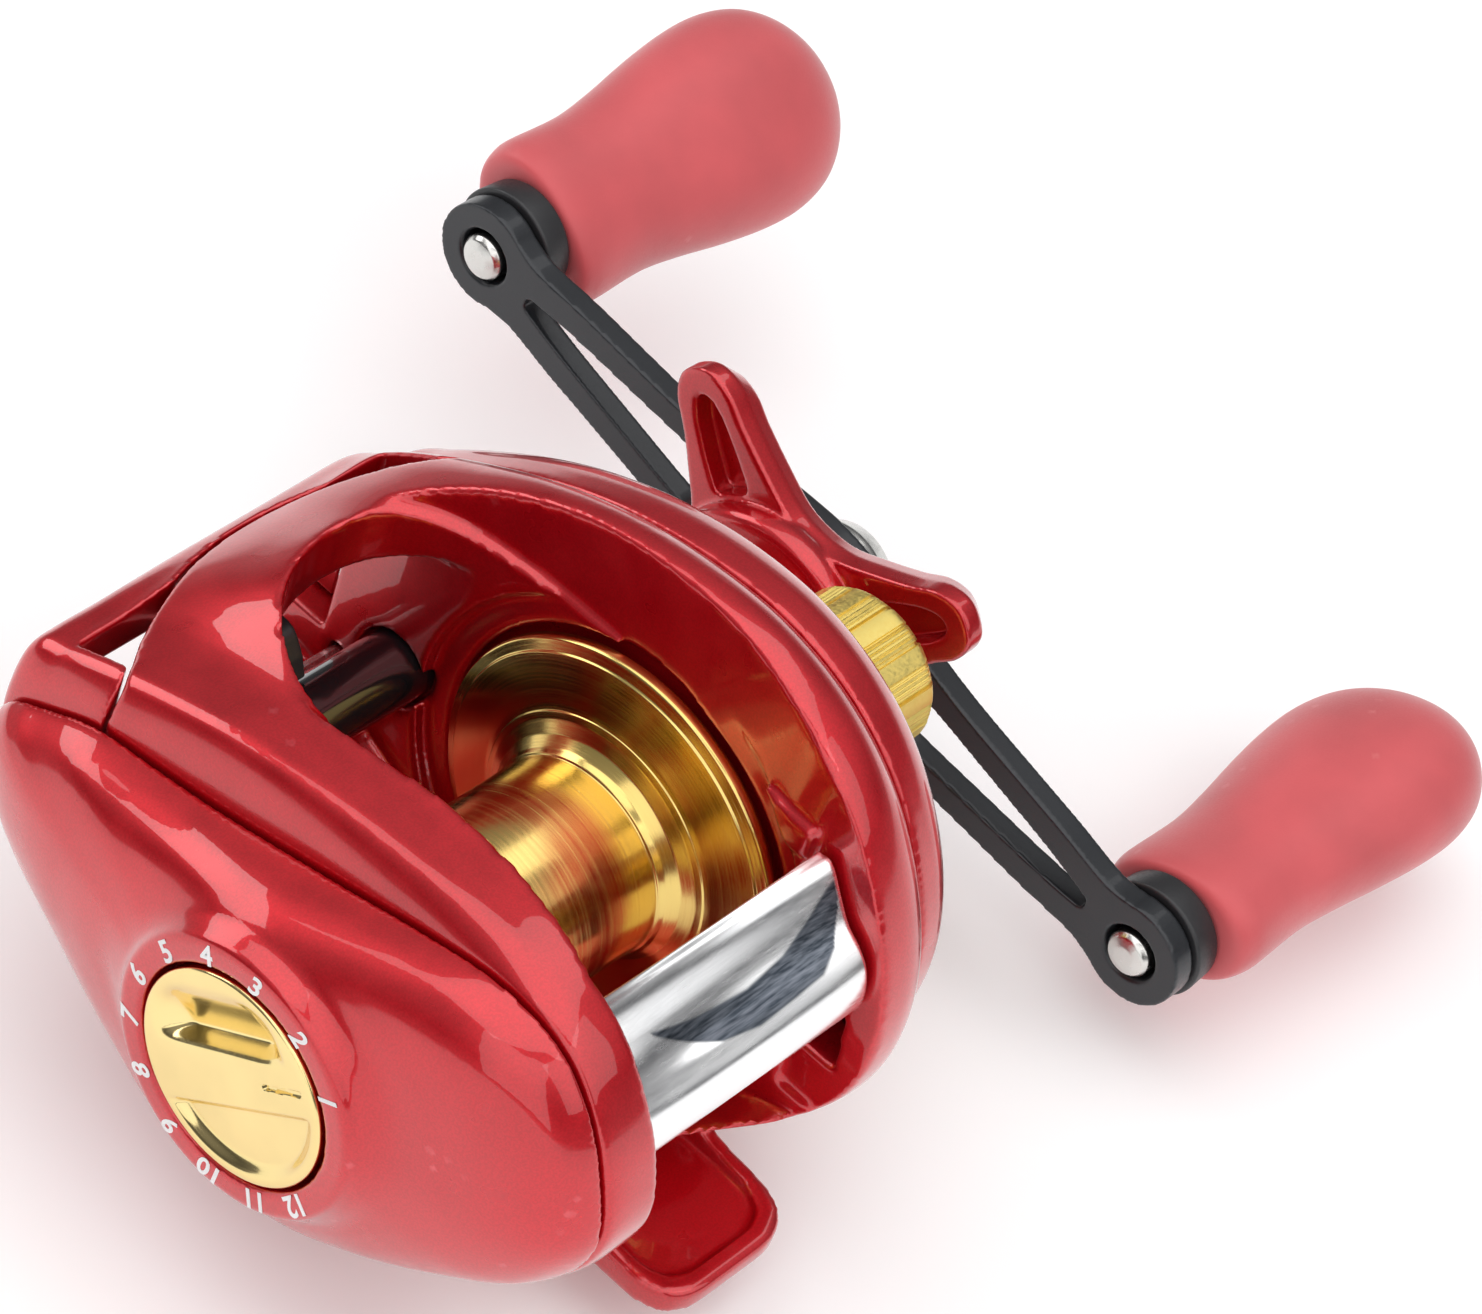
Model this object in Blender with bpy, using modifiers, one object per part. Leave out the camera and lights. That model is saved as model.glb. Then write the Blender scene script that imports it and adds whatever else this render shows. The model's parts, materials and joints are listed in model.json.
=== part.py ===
"""Low-profile baitcasting reel, built as an assembly of separate pieces.

Design frame used below, in millimetres: X runs along the spool's axis towards
the handle, Y points forward (the way the line leaves), Z is up, and the zero
is the middle of the spool. The finished object is shifted so that its origin
is the middle of the flat underside of the reel foot.
"""

import math

import bmesh
import bpy
from mathutils import Matrix, Vector

MM = 0.001

# ---- driving dimensions, millimetres ---------------------------------------
FOOT_X = 3.8            # foot's centre line, from the middle of the spool
FOOT_Z = -21.0          # underside of the foot, from the spool's axis
FOOT_HALF_W = 7.7
FOOT_REAR, FOOT_FRONT = -28.2, 29.0

SPOOL_R = 17.0          # flange
SPOOL_HALF = 12.0       # middle of the spool to the inner face of a flange
HUB_R = 8.6
FLANGE_T = 1.4

WALL_IN = 11.8          # inner faces of the two frame walls
LEFT_PART = -19.5       # outer face of the left frame wall
RIGHT_PART = 19.0       # outer face of the right frame wall
GAP = 0.3

SHAFT_Y, SHAFT_Z = 12.0, -7.7       # handle shaft, from the spool's axis
MODULE = 0.3477
MAIN_TEETH, PINION_TEETH = 72, 10
WORM_Y, WORM_Z = 23.41, -1.88        # level-wind worm
DRIVE_TEETH, COG_TEETH = 36, 28
COG_MODULE = 0.4

DIAL_R, DIAL_FACE = 9.15, -28.8
TENSION_R, TENSION_END = 7.15, 44.4
TUBE_R = 3.2

ARM_IN, ARM_T = 51.4, 2.3
ARM_HALF = 40.7        # handle shaft to each knob pin
ARM_ANGLE = math.radians(9.9)
STAR_R = 22.6
STAR_TURN = 50.0        # degrees from +Y to the nearest lobe
THUMB_TRAVEL = 3.5

# ---- scene -------------------------------------------------------------------
for old in list(bpy.data.objects):
    bpy.data.objects.remove(old, do_unlink=True)

reel = bpy.data.collections.new("baitcasting_reel")
bpy.context.scene.collection.children.link(reel)
cutters = bpy.data.collections.new("cutters")
cutters.hide_render = True
bpy.context.scene.collection.children.link(cutters)

ALONG_X = Matrix(((0, 0, 1), (1, 0, 0), (0, 1, 0)))   # local x, y, z to world y, z, x


def paint(name, colour, rough, metal, coat=0.0):
    material = bpy.data.materials.new(name)
    material.use_nodes = True
    shader = material.node_tree.nodes["Principled BSDF"]
    shader.inputs["Base Color"].default_value = (*colour, 1)
    shader.inputs["Roughness"].default_value = rough
    shader.inputs["Metallic"].default_value = metal
    shader.inputs["Coat Weight"].default_value = coat
    material.diffuse_color = (*colour, 1)
    return material


def empty(name, at, parent=None):
    node = bpy.data.objects.new(name, None)
    node.empty_display_size = 0.01
    reel.objects.link(node)
    node.parent = parent
    base = Vector(parent["at"]) if parent else Vector((0, 0, 0))
    node["at"] = at
    node.location = (Vector(at) - base) * MM
    return node


ROOT_AT = (0.0, 0.0, 0.0)
root = empty("reel_root", ROOT_AT)
root.location = (-FOOT_X * MM, 0, -FOOT_Z * MM)


def place(obj, parent, at=(0, 0, 0), rotation=None):
    obj.parent = parent
    obj.location = (Vector(at) - Vector(parent["at"])) * MM
    if rotation is not None:
        obj.rotation_euler = rotation.to_euler()
    return obj


def finish(name, mesh, material, parent, at=(0, 0, 0), rotation=None, smooth=35):
    obj = bpy.data.objects.new(name, mesh)
    mesh.materials.append(paint(name + "_finish", *material))
    if smooth:
        mesh.shade_smooth()
        mesh.set_sharp_from_angle(angle=math.radians(smooth))
    reel.objects.link(obj)
    return place(obj, parent, at, rotation)


def as_cutter(obj):
    for home in list(obj.users_collection):
        home.objects.unlink(obj)
    cutters.objects.link(obj)
    obj.hide_render = True
    obj.display_type = "WIRE"
    return obj


def boolean(obj, other, operation="DIFFERENCE"):
    modifier = obj.modifiers.new(other.name, "BOOLEAN")
    modifier.object = other
    modifier.operation = operation
    modifier.solver = "EXACT"
    return obj


def turned_mesh(name, points):
    """Profile of (along, radius) pairs. A closed loop leaves a bore; an open one starts and ends on the axis."""
    closed_loop = points[0][1] > 0 and points[-1][1] > 0
    area = sum(a[1] * b[0] - b[1] * a[0] for a, b in zip(points, points[1:] + points[:1]))
    if area > 0:
        points = points[::-1]
    mesh = bpy.data.meshes.new(name)
    edges = [(i, i + 1) for i in range(len(points) - 1)]
    if closed_loop:
        edges.append((len(points) - 1, 0))
    mesh.from_pydata([(r * MM, 0, a * MM) for a, r in points], edges, [])
    return mesh


def turned(name, points, material, parent, at=(0, 0, 0), steps=32):
    mesh = turned_mesh(name, points)
    mesh.materials.append(paint(name + "_finish", *material))
    obj = bpy.data.objects.new(name, mesh)
    reel.objects.link(obj)
    place(obj, parent, at, ALONG_X)
    screw = obj.modifiers.new("turn", "SCREW")
    screw.steps = screw.render_steps = steps
    screw.use_merge_vertices = True
    screw.merge_threshold = 0.00002
    screw.use_smooth_shade = True
    return obj


def flat(name, loops, low, high, material, parent, at=(0, 0, 0), smooth=0):
    """Flat outline with holes, in the (Y, Z) plane, thick from low to high along X."""
    curve = bpy.data.curves.new(name, "CURVE")
    curve.dimensions = "2D"
    curve.fill_mode = "BOTH"
    curve.extrude = (high - low) / 2 * MM
    for loop in loops:
        spline = curve.splines.new("POLY")
        spline.points.add(len(loop) - 1)
        for point, (u, v) in zip(spline.points, loop):
            point.co = (u * MM, v * MM, 0, 1)
        spline.use_cyclic_u = True
    helper = bpy.data.objects.new(name + "_outline", curve)
    bpy.context.scene.collection.objects.link(helper)
    bpy.context.view_layer.update()
    graph = bpy.context.evaluated_depsgraph_get()
    mesh = bpy.data.meshes.new_from_object(helper.evaluated_get(graph))
    bpy.data.objects.remove(helper, do_unlink=True)
    bm = bmesh.new()
    bm.from_mesh(mesh)
    bmesh.ops.remove_doubles(bm, verts=bm.verts, dist=1e-6)
    bmesh.ops.translate(bm, verts=bm.verts, vec=(0, 0, (low + high) / 2 * MM))
    bmesh.ops.recalc_face_normals(bm, faces=bm.faces)
    bm.to_mesh(mesh)
    bm.free()
    mesh.materials.clear()
    mesh.name = name
    return finish(name, mesh, material, parent, at, ALONG_X, smooth)


def loft_mesh(name, rings, cyclic=False):
    """Skin through closed rings of equal count, each a list of (x, y, z) in millimetres."""
    bm = bmesh.new()
    rows = [[bm.verts.new(Vector(p) * MM) for p in ring] for ring in rings]
    count = len(rows[0])
    pairs = list(zip(rows, rows[1:]))
    if cyclic:
        pairs.append((rows[-1], rows[0]))
    for a, b in pairs:
        for i in range(count):
            j = (i + 1) % count
            bm.faces.new((a[i], a[j], b[j], b[i]))
    if not cyclic:
        bm.faces.new(rows[0][::-1])
        bm.faces.new(rows[-1])
    bmesh.ops.recalc_face_normals(bm, faces=bm.faces)
    bmesh.ops.triangulate(bm, faces=bm.faces, quad_method="SHORT_EDGE")
    mesh = bpy.data.meshes.new(name)
    bm.to_mesh(mesh)
    bm.free()
    return mesh


def circle(radius, count=24, centre=(0, 0), start=0.0):
    return [
        (centre[0] + radius * math.cos(start + 2 * math.pi * i / count),
         centre[1] + radius * math.sin(start + 2 * math.pi * i / count))
        for i in range(count)
    ]


def spline_loop(points, per=3):
    """Closed Catmull-Rom curve through the points."""
    out = []
    n = len(points)
    for i in range(n):
        p0, p1, p2, p3 = (points[(i + k - 1) % n] for k in range(4))
        for s in range(per):
            t = s / per
            out.append(tuple(
                0.5 * (2 * b + (c - a) * t + (2 * a - 5 * b + 4 * c - d) * t * t + (3 * b - a - 3 * c + d) * t ** 3)
                for a, b, c, d in zip(p0, p1, p2, p3)))
    return out


def mix(a, b, t):
    return [tuple(p + (q - p) * t for p, q in zip(u, v)) for u, v in zip(a, b)]


def smoothstep(t):
    t = min(1.0, max(0.0, t))
    return t * t * (3 - 2 * t)


def gear_outline(teeth, module, start=0.0):
    """Straight-flanked teeth on the right pitch circle, with running clearance."""
    pitch = teeth * module / 2
    tip, foot = pitch + 0.8 * module, pitch - 1.2 * module
    out = []
    step = 2 * math.pi / teeth
    for i in range(teeth):
        a = start + i * step
        for radius, share in ((foot, -0.31), (tip, -0.09), (tip, 0.09), (foot, 0.31)):
            out.append((radius * math.cos(a + share * step), radius * math.sin(a + share * step)))
    return out


# ---- finishes ----------------------------------------------------------------
CANDY = ((0.52, 0.012, 0.028), 0.22, 0.75, 1.0)
CANDY_DARK = ((0.28, 0.006, 0.012), 0.25, 0.7, 1.0)
GOLD = ((0.86, 0.60, 0.20), 0.18, 1.0)
CHROME = ((0.86, 0.88, 0.90), 0.06, 1.0)
STEEL = ((0.62, 0.62, 0.63), 0.28, 1.0)
BRASS = ((0.72, 0.53, 0.24), 0.3, 1.0)
BLACK = ((0.02, 0.02, 0.022), 0.38, 0.0)
BLACK_GLOSS = ((0.012, 0.012, 0.014), 0.1, 0.0, 1.0)
ANODISED = ((0.03, 0.032, 0.036), 0.34, 0.8)
CORAL = ((0.78, 0.10, 0.12), 0.55, 0.0)
CARBON = ((0.05, 0.05, 0.055), 0.6, 0.0)
PLASTIC = ((0.10, 0.10, 0.11), 0.5, 0.0)
MAGNET = ((0.45, 0.46, 0.48), 0.25, 1.0)

# ---- outer form: profiles in (y, z), nose first, over the top to the rear -------
LEFT_EDGE = [(35.2, 3.6), (30.8, 6.6), (26.1, 8.9), (20.5, 10.0), (14.5, 11.2), (8.0, 12.9), (0.5, 15.0), (-7.0, 17.2),
             (-14.0, 18.7), (-20.2, 17.9), (-24.4, 14.4), (-27.3, 9.0), (-28.7, 2.8), (-26.0, -3.4), (-20.2, -8.5),
             (-13.0, -13.3), (-4.0, -17.5), (8.0, -18.5), (17.6, -14.4), (25.6, -9.6), (32.0, -5.4), (35.2, -1.2)]
LEFT_CREST = [(36.1, 8.0), (32.8, 10.2), (28.0, 12.4), (22.0, 14.6), (15.5, 16.6), (8.0, 18.2), (0.0, 19.3),
              (-8.0, 20.1), (-15.5, 19.9), (-21.2, 17.7), (-25.2, 13.6), (-28.0, 8.5), (-29.0, 2.6), (-26.4, -4.0),
              (-20.6, -9.9), (-13.2, -15.1), (-4.0, -19.2), (8.0, -20.1), (18.2, -16.0), (26.6, -10.9),
              (33.2, -6.2), (36.3, 0.4)]
MIDDLE = [(36.2, 8.2), (33.2, 11.4), (29.4, 14.2), (24.5, 17.2), (18.0, 19.6), (10.0, 21.4), (2.0, 22.4),
          (-6.0, 22.4), (-13.0, 20.6), (-19.5, 17.4), (-24.0, 13.2), (-27.0, 8.0), (-28.0, 2.0), (-25.0, -4.0),
          (-19.4, -11.0), (-12.4, -16.8), (-4.0, -20.4), (8.0, -20.6), (18.0, -16.8), (27.0, -11.2), (33.8, -6.4),
          (36.6, 0.8)]
RIGHT_CREST = [(36.2, 8.4), (33.4, 11.8), (29.4, 15.2), (23.8, 18.8), (17.6, 22.2), (10.6, 24.9), (3.0, 26.4),
               (-5.0, 26.8), (-12.2, 25.0), (-18.2, 21.6), (-23.0, 16.0), (-26.8, 8.6), (-28.2, 1.0), (-26.9, -6.3),
               (-22.2, -13.4), (-15.0, -19.7), (-4.0, -23.3), (9.0, -24.4), (20.6, -22.6), (29.8, -16.0),
               (35.4, -8.2), (37.0, 0.6)]
RIGHT_EDGE = [(34.8, 7.4), (31.8, 10.4), (27.8, 13.6), (22.6, 17.2), (16.8, 20.4), (10.2, 23.0), (3.0, 24.6),
              (-4.6, 24.9), (-11.6, 23.2), (-17.6, 19.4), (-22.2, 13.8), (-25.2, 7.2), (-26.0, 0.6), (-24.8, -5.8),
              (-20.8, -12.6), (-14.2, -18.8), (-4.0, -22.4), (9.0, -23.5), (20.2, -21.4), (29.0, -15.0),
              (34.2, -7.6), (35.6, 0.4)]
STATIONS = [(LEFT_PART, LEFT_EDGE), (-18.9, mix(LEFT_EDGE, LEFT_CREST, 0.5)), (-17.6, mix(LEFT_EDGE, LEFT_CREST, 0.92)),
            (-15.2, LEFT_CREST), (-11.0, mix(LEFT_CREST, MIDDLE, 0.12)), (-5.0, mix(LEFT_CREST, MIDDLE, 0.75)),
            (0.0, MIDDLE), (6.0, mix(MIDDLE, RIGHT_CREST, 0.35)), (11.0, mix(MIDDLE, RIGHT_CREST, 0.85)),
            (15.0, RIGHT_CREST), (17.2, mix(RIGHT_CREST, RIGHT_EDGE, 0.28)), (RIGHT_PART, RIGHT_EDGE)]


def hull_mesh(name, per=3, grow=0.0):
    rings = []
    for x, profile in STATIONS:
        rings.append([(x, y, z) for y, z in spline_loop(profile, per)])
    if grow:
        rings = [[(x, y, z) for x, y, z in ring] for ring in rings]
    return loft_mesh(name, rings)


def solid(name, mesh, operation_home=True):
    """A helper solid for a Boolean, in the design frame."""
    obj = bpy.data.objects.new(name, mesh)
    cutters.objects.link(obj)
    obj.hide_render = True
    obj.display_type = "WIRE"
    return place(obj, root)


def prism_z(name, plan, low, high, low_plan=None):
    """Plan outline in (x, y), from low to high."""
    low_plan = low_plan or plan
    return solid(name, loft_mesh(name, [[(x, y, low) for x, y in low_plan], [(x, y, high) for x, y in plan]]))


def prism_x(name, side, low, high, high_side=None):
    """Side outline in (y, z), from low to high along X."""
    high_side = high_side or side
    return solid(name, loft_mesh(name, [[(low, y, z) for y, z in side], [(high, y, z) for y, z in high_side]]))


def rod_x(name, radius, low, high, centre=(0, 0), count=32):
    return prism_x(name, circle(radius, count, centre), low, high)


def block(name, low, high):
    (x0, y0, z0), (x1, y1, z1) = low, high
    return prism_z(name, [(x0, y0), (x1, y0), (x1, y1), (x0, y1)], z0, z1)


# ---- frame ---------------------------------------------------------------------
SHAFT = (SHAFT_Y, SHAFT_Z)
WORM = (WORM_Y, WORM_Z)

frame = finish("frame", hull_mesh("frame", 2), CANDY, root)

# Outline of the top opening, seen from above, and the same outline 5 mm lower,
# drawn in to leave the sloping lip round the opening.
OPENING = [(-14.4, -60), (-14.3, -22), (-13.2, -14), (-11.9, -7), (-11.3, 0), (-11.6, 8), (-11.5, 14), (-10.2, 18.4),
           (-7.6, 22.3), (-4.0, 25.4), (0.2, 27.2), (4.2, 27.7), (7.8, 26.8), (10.6, 24.2), (12.5, 20), (13.5, 14),
           (13.8, 8), (13.6, 1), (13.0, -6), (12.4, -13), (12.0, -20), (11.9, -60)]


def drawn_in(outline, amount):
    return [(x * (1 - amount / 16.0), y - (amount * 1.15 if y > 12 else 0)) for x, y in outline]


top_high = prism_z("cut_top_opening_upper", drawn_in(OPENING, -1.8), 16.8, 45, drawn_in(OPENING, 0.0))
top_low = prism_z("cut_top_opening_lower", drawn_in(OPENING, 1.0), 5.0, 17.2)
BAY_LEFT = [(-60, 14), (-60, -9.0), (-28, -9.0), (-21.5, -11.2), (-14, -14.8), (-8, -17.2), (0, -18.2), (7, -17.8),
            (14, -14.9), (20, -11.4), (26, -8.6), (32, -7.2), (60, -6.0), (60, 4.5), (34, 5.5), (29, 7.5), (24, 9.6),
            (18, 11.6), (10, 13.0), (0, 14)]
BAY_RIGHT = [(y, z + (2.6 if z > 7 and 5 < y < 30 else 0)) for y, z in BAY_LEFT]
bay = prism_x("cut_spool_bay", BAY_LEFT, -WALL_IN, WALL_IN, BAY_RIGHT)
nest_left = rod_x("cut_flange_nest_left", 17.5, -15.0, -11.0, count=36)
nest_right = rod_x("cut_flange_nest_right", 17.5, 11.0, 14.6, count=36)
ring_right = rod_x("cut_right_wall_ring", 20.4, 11.0, 13.1, count=40)
left_port = rod_x("cut_brake_port", 13.2, -25.0, -14.0, count=28)
shaft_hole = rod_x("cut_spool_shaft_hole", 4.6, 10.0, 25.0, count=14)
cam_pocket = rod_x("cut_cam_pocket", 8.4, 16.9, 25.0, count=20)
for cutter in (top_high, top_low, bay, nest_left, nest_right, ring_right, left_port, shaft_hole, cam_pocket):
    boolean(frame, cutter)

# The nose cover takes everything ahead of this line, seen from above.
NOSE_LINE = [(-30, 25.4), (-19.6, 25.8), (-16.6, 27.0), (-13.0, 29.3), (-9.0, 31.2), (-5.0, 32.7), (-1.0, 33.6),
             (3.0, 33.9), (7.0, 33.4), (10.6, 31.8), (13.6, 29.4), (16.6, 26.6), (19.6, 25.2), (30, 25.0)]
nose_region = prism_z("cut_nose_region", NOSE_LINE + [(30, 60), (-30, 60)], -3.6, 45)
boolean(frame, nose_region)

# Pivots, worm and slots in the walls.
boolean(frame, rod_x("cut_shaft_pivot", 2.4, 15.4, 25, SHAFT, 12))
boolean(frame, rod_x("cut_worm_bore", 2.5, -16.5, 25, WORM, 12))
boolean(frame, rod_x("cut_tube_seat", TUBE_R + 0.3, -14.0, 14.0, WORM, 16))
boolean(frame, rod_x("cut_guide_rod_bore", 1.1, -14.5, 14.5, (28.8, -5.2), 8))
boolean(frame, prism_x("cut_bar_seat", [(-60, -8.6), (-21.6, -8.6), (-18.6, 7.0), (-17.2, 14.0), (-17.4, 30), (-60, 30)], -14.3, 12.3))
boolean(frame, prism_x("cut_clutch_slot", [(-25.6, -3.4), (-21.4, -3.4), (-19.6, 9.0), (-23.8, 9.0)], 10.0, 17.2))
boolean(frame, prism_x("cut_clutch_recess", [(-23.6, -6.2), (-5.0, -6.2), (-5.0, 5.2), (-20.0, 9.4), (-24.6, 9.4), (-25.6, 0.0)], 16.9, 25.0))

# Foot: a blade with a rounded end at the rear, joined under the bottom bar.
blade = [(FOOT_X + s * FOOT_HALF_W * w, y) for s, span in ((1, 1), (-1, -1)) for w, y in (
    ((0.55, FOOT_REAR), (0.84, FOOT_REAR + 0.9), (1.0, FOOT_REAR + 3.4), (1.0, -6.0), (0.92, 8.0), (0.86, 24.0),
     (0.62, FOOT_FRONT - 1.2), (0.3, FOOT_FRONT))[::span])]
foot = prism_z("add_foot", blade, FOOT_Z - 1.5, FOOT_Z + 6.0)
trim = prism_x("cut_foot_top", [(-60, FOOT_Z + 2.0), (-27.0, FOOT_Z + 2.3), (-19.0, FOOT_Z + 3.2), (-15.2, FOOT_Z + 4.6),
                                (-14.0, 0), (16, 0), (18.5, FOOT_Z + 4.6), (25, FOOT_Z + 2.6), (60, FOOT_Z + 2.0),
                                (60, 20), (-60, 20)], -30, 30)
boolean(foot, trim)
boolean(foot, prism_x("cut_foot_bay", circle(17.9, 36), -30, 30))
boolean(frame, foot, "UNION")
boolean(frame, block("cut_foot_underside", (-6.6, -60, -60), (13.7, 60, FOOT_Z)))

# ---- nose cover ------------------------------------------------------------------
nose = finish("nose_cover", hull_mesh("nose_cover", 2), CANDY, root)
NOSE_KEEP = [(x, y + 0.3) for x, y in NOSE_LINE] + [(30, 60), (-30, 60)]
boolean(nose, prism_z("keep_nose_region", NOSE_KEEP, -3.3, 45), "INTERSECT")
boolean(nose, prism_z("cut_window_left", [(-16.4, 20), (-1.0, 20), (-1.0, 32.6), (-16.4, 32.4)], -10, 45))
boolean(nose, prism_z("cut_window_right", [(0.5, 20), (16.0, 20), (16.0, 32.4), (0.5, 32.6)], -10, 45))
boolean(nose, prism_x("cut_mouth", [(20, -10), (60, -10), (60, 5.4), (31, 6.4), (20, 6.4)], -14.6, 14.6))

# ---- left side plate ---------------------------------------------------------------
PLATE_RINGS = 32


def dome_ring(x, share, base, centre, radius, count=PLATE_RINGS, inset=0.0):
    """Ring between the plate's outline (share 1) and a circle (share 0), by angle about the centre."""
    outline = spline_loop(base, 4)
    polar = sorted((math.atan2(z - centre[1], y - centre[0]), math.hypot(y - centre[0], z - centre[1])) for y, z in outline)
    ring = []
    for i in range(count):
        angle = -math.pi + 2 * math.pi * (i + 0.5) / count
        for (a0, r0), (a1, r1) in zip(polar, polar[1:] + [(polar[0][0] + 2 * math.pi, polar[0][1])]):
            if a0 <= angle < a1 or (angle < polar[0][0] and a1 > math.pi and a0 <= angle + 2 * math.pi < a1):
                t = ((angle if angle >= a0 else angle + 2 * math.pi) - a0) / (a1 - a0)
                far = r0 + (r1 - r0) * t
                break
        r = radius + (far - inset - radius) * share
        ring.append((x, centre[0] + r * math.cos(angle), centre[1] + r * math.sin(angle)))
    return ring


left_rings = [dome_ring(x, share, LEFT_EDGE, (0, 0), radius, inset=inset) for x, share, radius, inset in (
    (LEFT_PART - GAP, 1.0, 12, 0.0), (-21.2, 0.97, 12, 0.0), (-22.8, 0.90, 12, 0.0), (-24.2, 0.775, 12, 0.0),
    (-25.3, 0.59, 12, 0.0), (-26.1, 0.36, 12.2, 0.0), (-26.8, 0.15, 12.2, 0.0), (-27.8, 0.03, 12.1, 0.0),
    (-28.5, 0.0, 11.95, 0.0), (DIAL_FACE, 0.0, 11.5, 0.0), (DIAL_FACE, 0.0, 9.5, 0.0), (-25.9, 0.0, 9.5, 0.0),
    (-25.9, 0.0, 4.6, 0.0), (-21.0, 0.0, 4.6, 0.0), (-21.0, 0.0, 5.7, 0.0), (-23.6, 0.0, 6.4, 0.0), (-23.6, 0.0, 10.4, 0.0), (-24.6, 0.28, 10.8, 1.6),
    (-23.6, 0.62, 11.6, 1.6), (-22.0, 0.83, 11.6, 1.6), (-20.8, 0.92, 11.6, 1.6), (LEFT_PART - GAP, 0.96, 11.6, 1.4))]
left_plate = finish("left_side_plate", loft_mesh("left_side_plate", left_rings, cyclic=True), CANDY, root)

# ---- right side plate ----------------------------------------------------------------
DOME = (9.0, -5.0)
right_rings = [dome_ring(x, share, RIGHT_EDGE, DOME, 12) for x, share in (
    (RIGHT_PART + GAP, 0.99), (22.6, 0.965), (24.8, 0.89), (26.6, 0.77), (28.2, 0.62), (29.3, 0.46))]
right_inner = [dome_ring(x, share, RIGHT_EDGE, DOME, 12, inset=1.3) for x, share in (
    (RIGHT_PART, 0.99), (22.8, 0.96), (25.0, 0.875), (26.4, 0.75), (27.7, 0.5))]
right_plate = finish("right_side_plate", loft_mesh("right_side_plate", right_rings), CANDY, root)
boolean(right_plate, solid("cut_gear_room", loft_mesh("cut_gear_room", right_inner)))
boss = solid("add_shaft_boss", loft_mesh("add_shaft_boss", [
    [(x, y, z) for y, z in circle(r, 24, SHAFT)] for x, r in ((28.9, 9.6), (30.6, 8.0), (32.6, 6.9), (44.5, 6.8))]))
cap_boss = solid("add_spool_boss", loft_mesh("add_spool_boss", [
    [(x, y, z) for y, z in circle(r, 18)] for x, r in ((28.9, 8.6), (30.4, 7.2), (33.3, 7.0), (33.3, 5.2), (38.6, 5.2))]))
boolean(right_plate, boss, "UNION")
boolean(right_plate, cap_boss, "UNION")
boolean(right_plate, rod_x("cut_shaft_boss_bore", 6.3, 20, 50, SHAFT, 20))
boolean(right_plate, rod_x("cut_spool_boss_bore", 3.9, 20, 50, (0, 0), 14))

# ---- spool -----------------------------------------------------------------------------
spool_spin = empty("spool_spin", (0, 0, 0), root)
R, H, F = SPOOL_R, SPOOL_HALF, FLANGE_T
spool_profile = [(-H - F, 1.25), (-H - F, R - 0.4), (-H - F + 0.4, R), (-H - 0.1, R), (-H + 0.25, R - 1.0),
                 (-H + 1.0, HUB_R + 3.0), (-H + 3.4, HUB_R), (H - 3.4, HUB_R), (H - 1.0, HUB_R + 3.0), (H - 0.25, R - 1.0),
                 (H + 0.1, R), (H + F - 0.4, R), (H + F, R - 0.4), (H + F, 1.25)]
spool = turned("spool", spool_profile, GOLD, spool_spin, steps=32)
shaft_profile = [(-23.2, 0), (-23.2, 1.0), (-22.8, 1.2), (16.3, 1.2), (16.6, 0.7), (39.6, 0.7), (40.0, 0.4), (40.0, 0)]
spool_shaft = turned("spool_shaft", shaft_profile, STEEL, spool_spin, steps=16)
boolean(spool_shaft, as_cutter(finish("cut_pin_hole", loft_mesh("cut_pin_hole", [
    [(15.25 + 0.42 * math.cos(a), 0.42 * math.sin(a), z) for a in [math.pi * k / 4 for k in range(8)]] for z in (-3, 3)]),
    STEEL, root, smooth=0)))
drive_pin = finish("spool_drive_pin", loft_mesh("spool_drive_pin", [
    [(15.25 + 0.30 * math.cos(a), 0.30 * math.sin(a), z) for a in [math.pi * k / 4 for k in range(8)]] for z in (-2.6, 2.6)]),
    STEEL, spool_spin)


def bearing(name, low, high, bore, outer, parent, at=(0, 0, 0)):
    return turned(name, [(low, bore), (low, bore + 0.5), (low + 0.3, bore + 0.8), (low + 0.3, outer - 0.8), (low, outer - 0.5),
                         (low, outer), (high, outer), (high, bore)], STEEL, parent, at, 16)


bearing("spool_bearing_left", -23.4, -21.0, 1.5, 4.2, root)
bearing("spool_bearing_right", 30.6, 33.0, 1.0, 3.6, root)

# ---- brake: dial, carrier and magnets ------------------------------------------------------
RIDGE = math.radians(143.4)            # direction of the dial's finger ridge, from +Y
dial_turn = empty("brake_dial_turn", (-28, 0, 0), root)
dial = turned("brake_dial", [(-24.2, 0), (-24.2, 4.0), (-26.2, 4.0), (-26.2, DIAL_R - 0.1), (-28.6, DIAL_R),
                             (DIAL_FACE - 0.15, DIAL_R - 0.35), (DIAL_FACE - 0.15, 0)], GOLD, dial_turn, steps=28)
for side in (1, -1):
    scoop = bpy.data.meshes.new("cut_dial_scoop")
    bm = bmesh.new()
    bmesh.ops.create_uvsphere(bm, u_segments=14, v_segments=8, radius=1.0)
    bm.to_mesh(scoop)
    bm.free()
    helper = bpy.data.objects.new("cut_dial_scoop", scoop)
    cutters.objects.link(helper)
    helper.hide_render = True
    helper.display_type = "WIRE"
    place(helper, root, (DIAL_FACE - 0.5, side * 4.9 * math.cos(RIDGE - math.pi / 2), side * 4.9 * math.sin(RIDGE - math.pi / 2)))
    helper.scale = (1.9 * MM, 6.2 * MM, 2.9 * MM)
    helper.rotation_euler = (RIDGE - math.pi, 0, 0)
    boolean(dial, helper)
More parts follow.
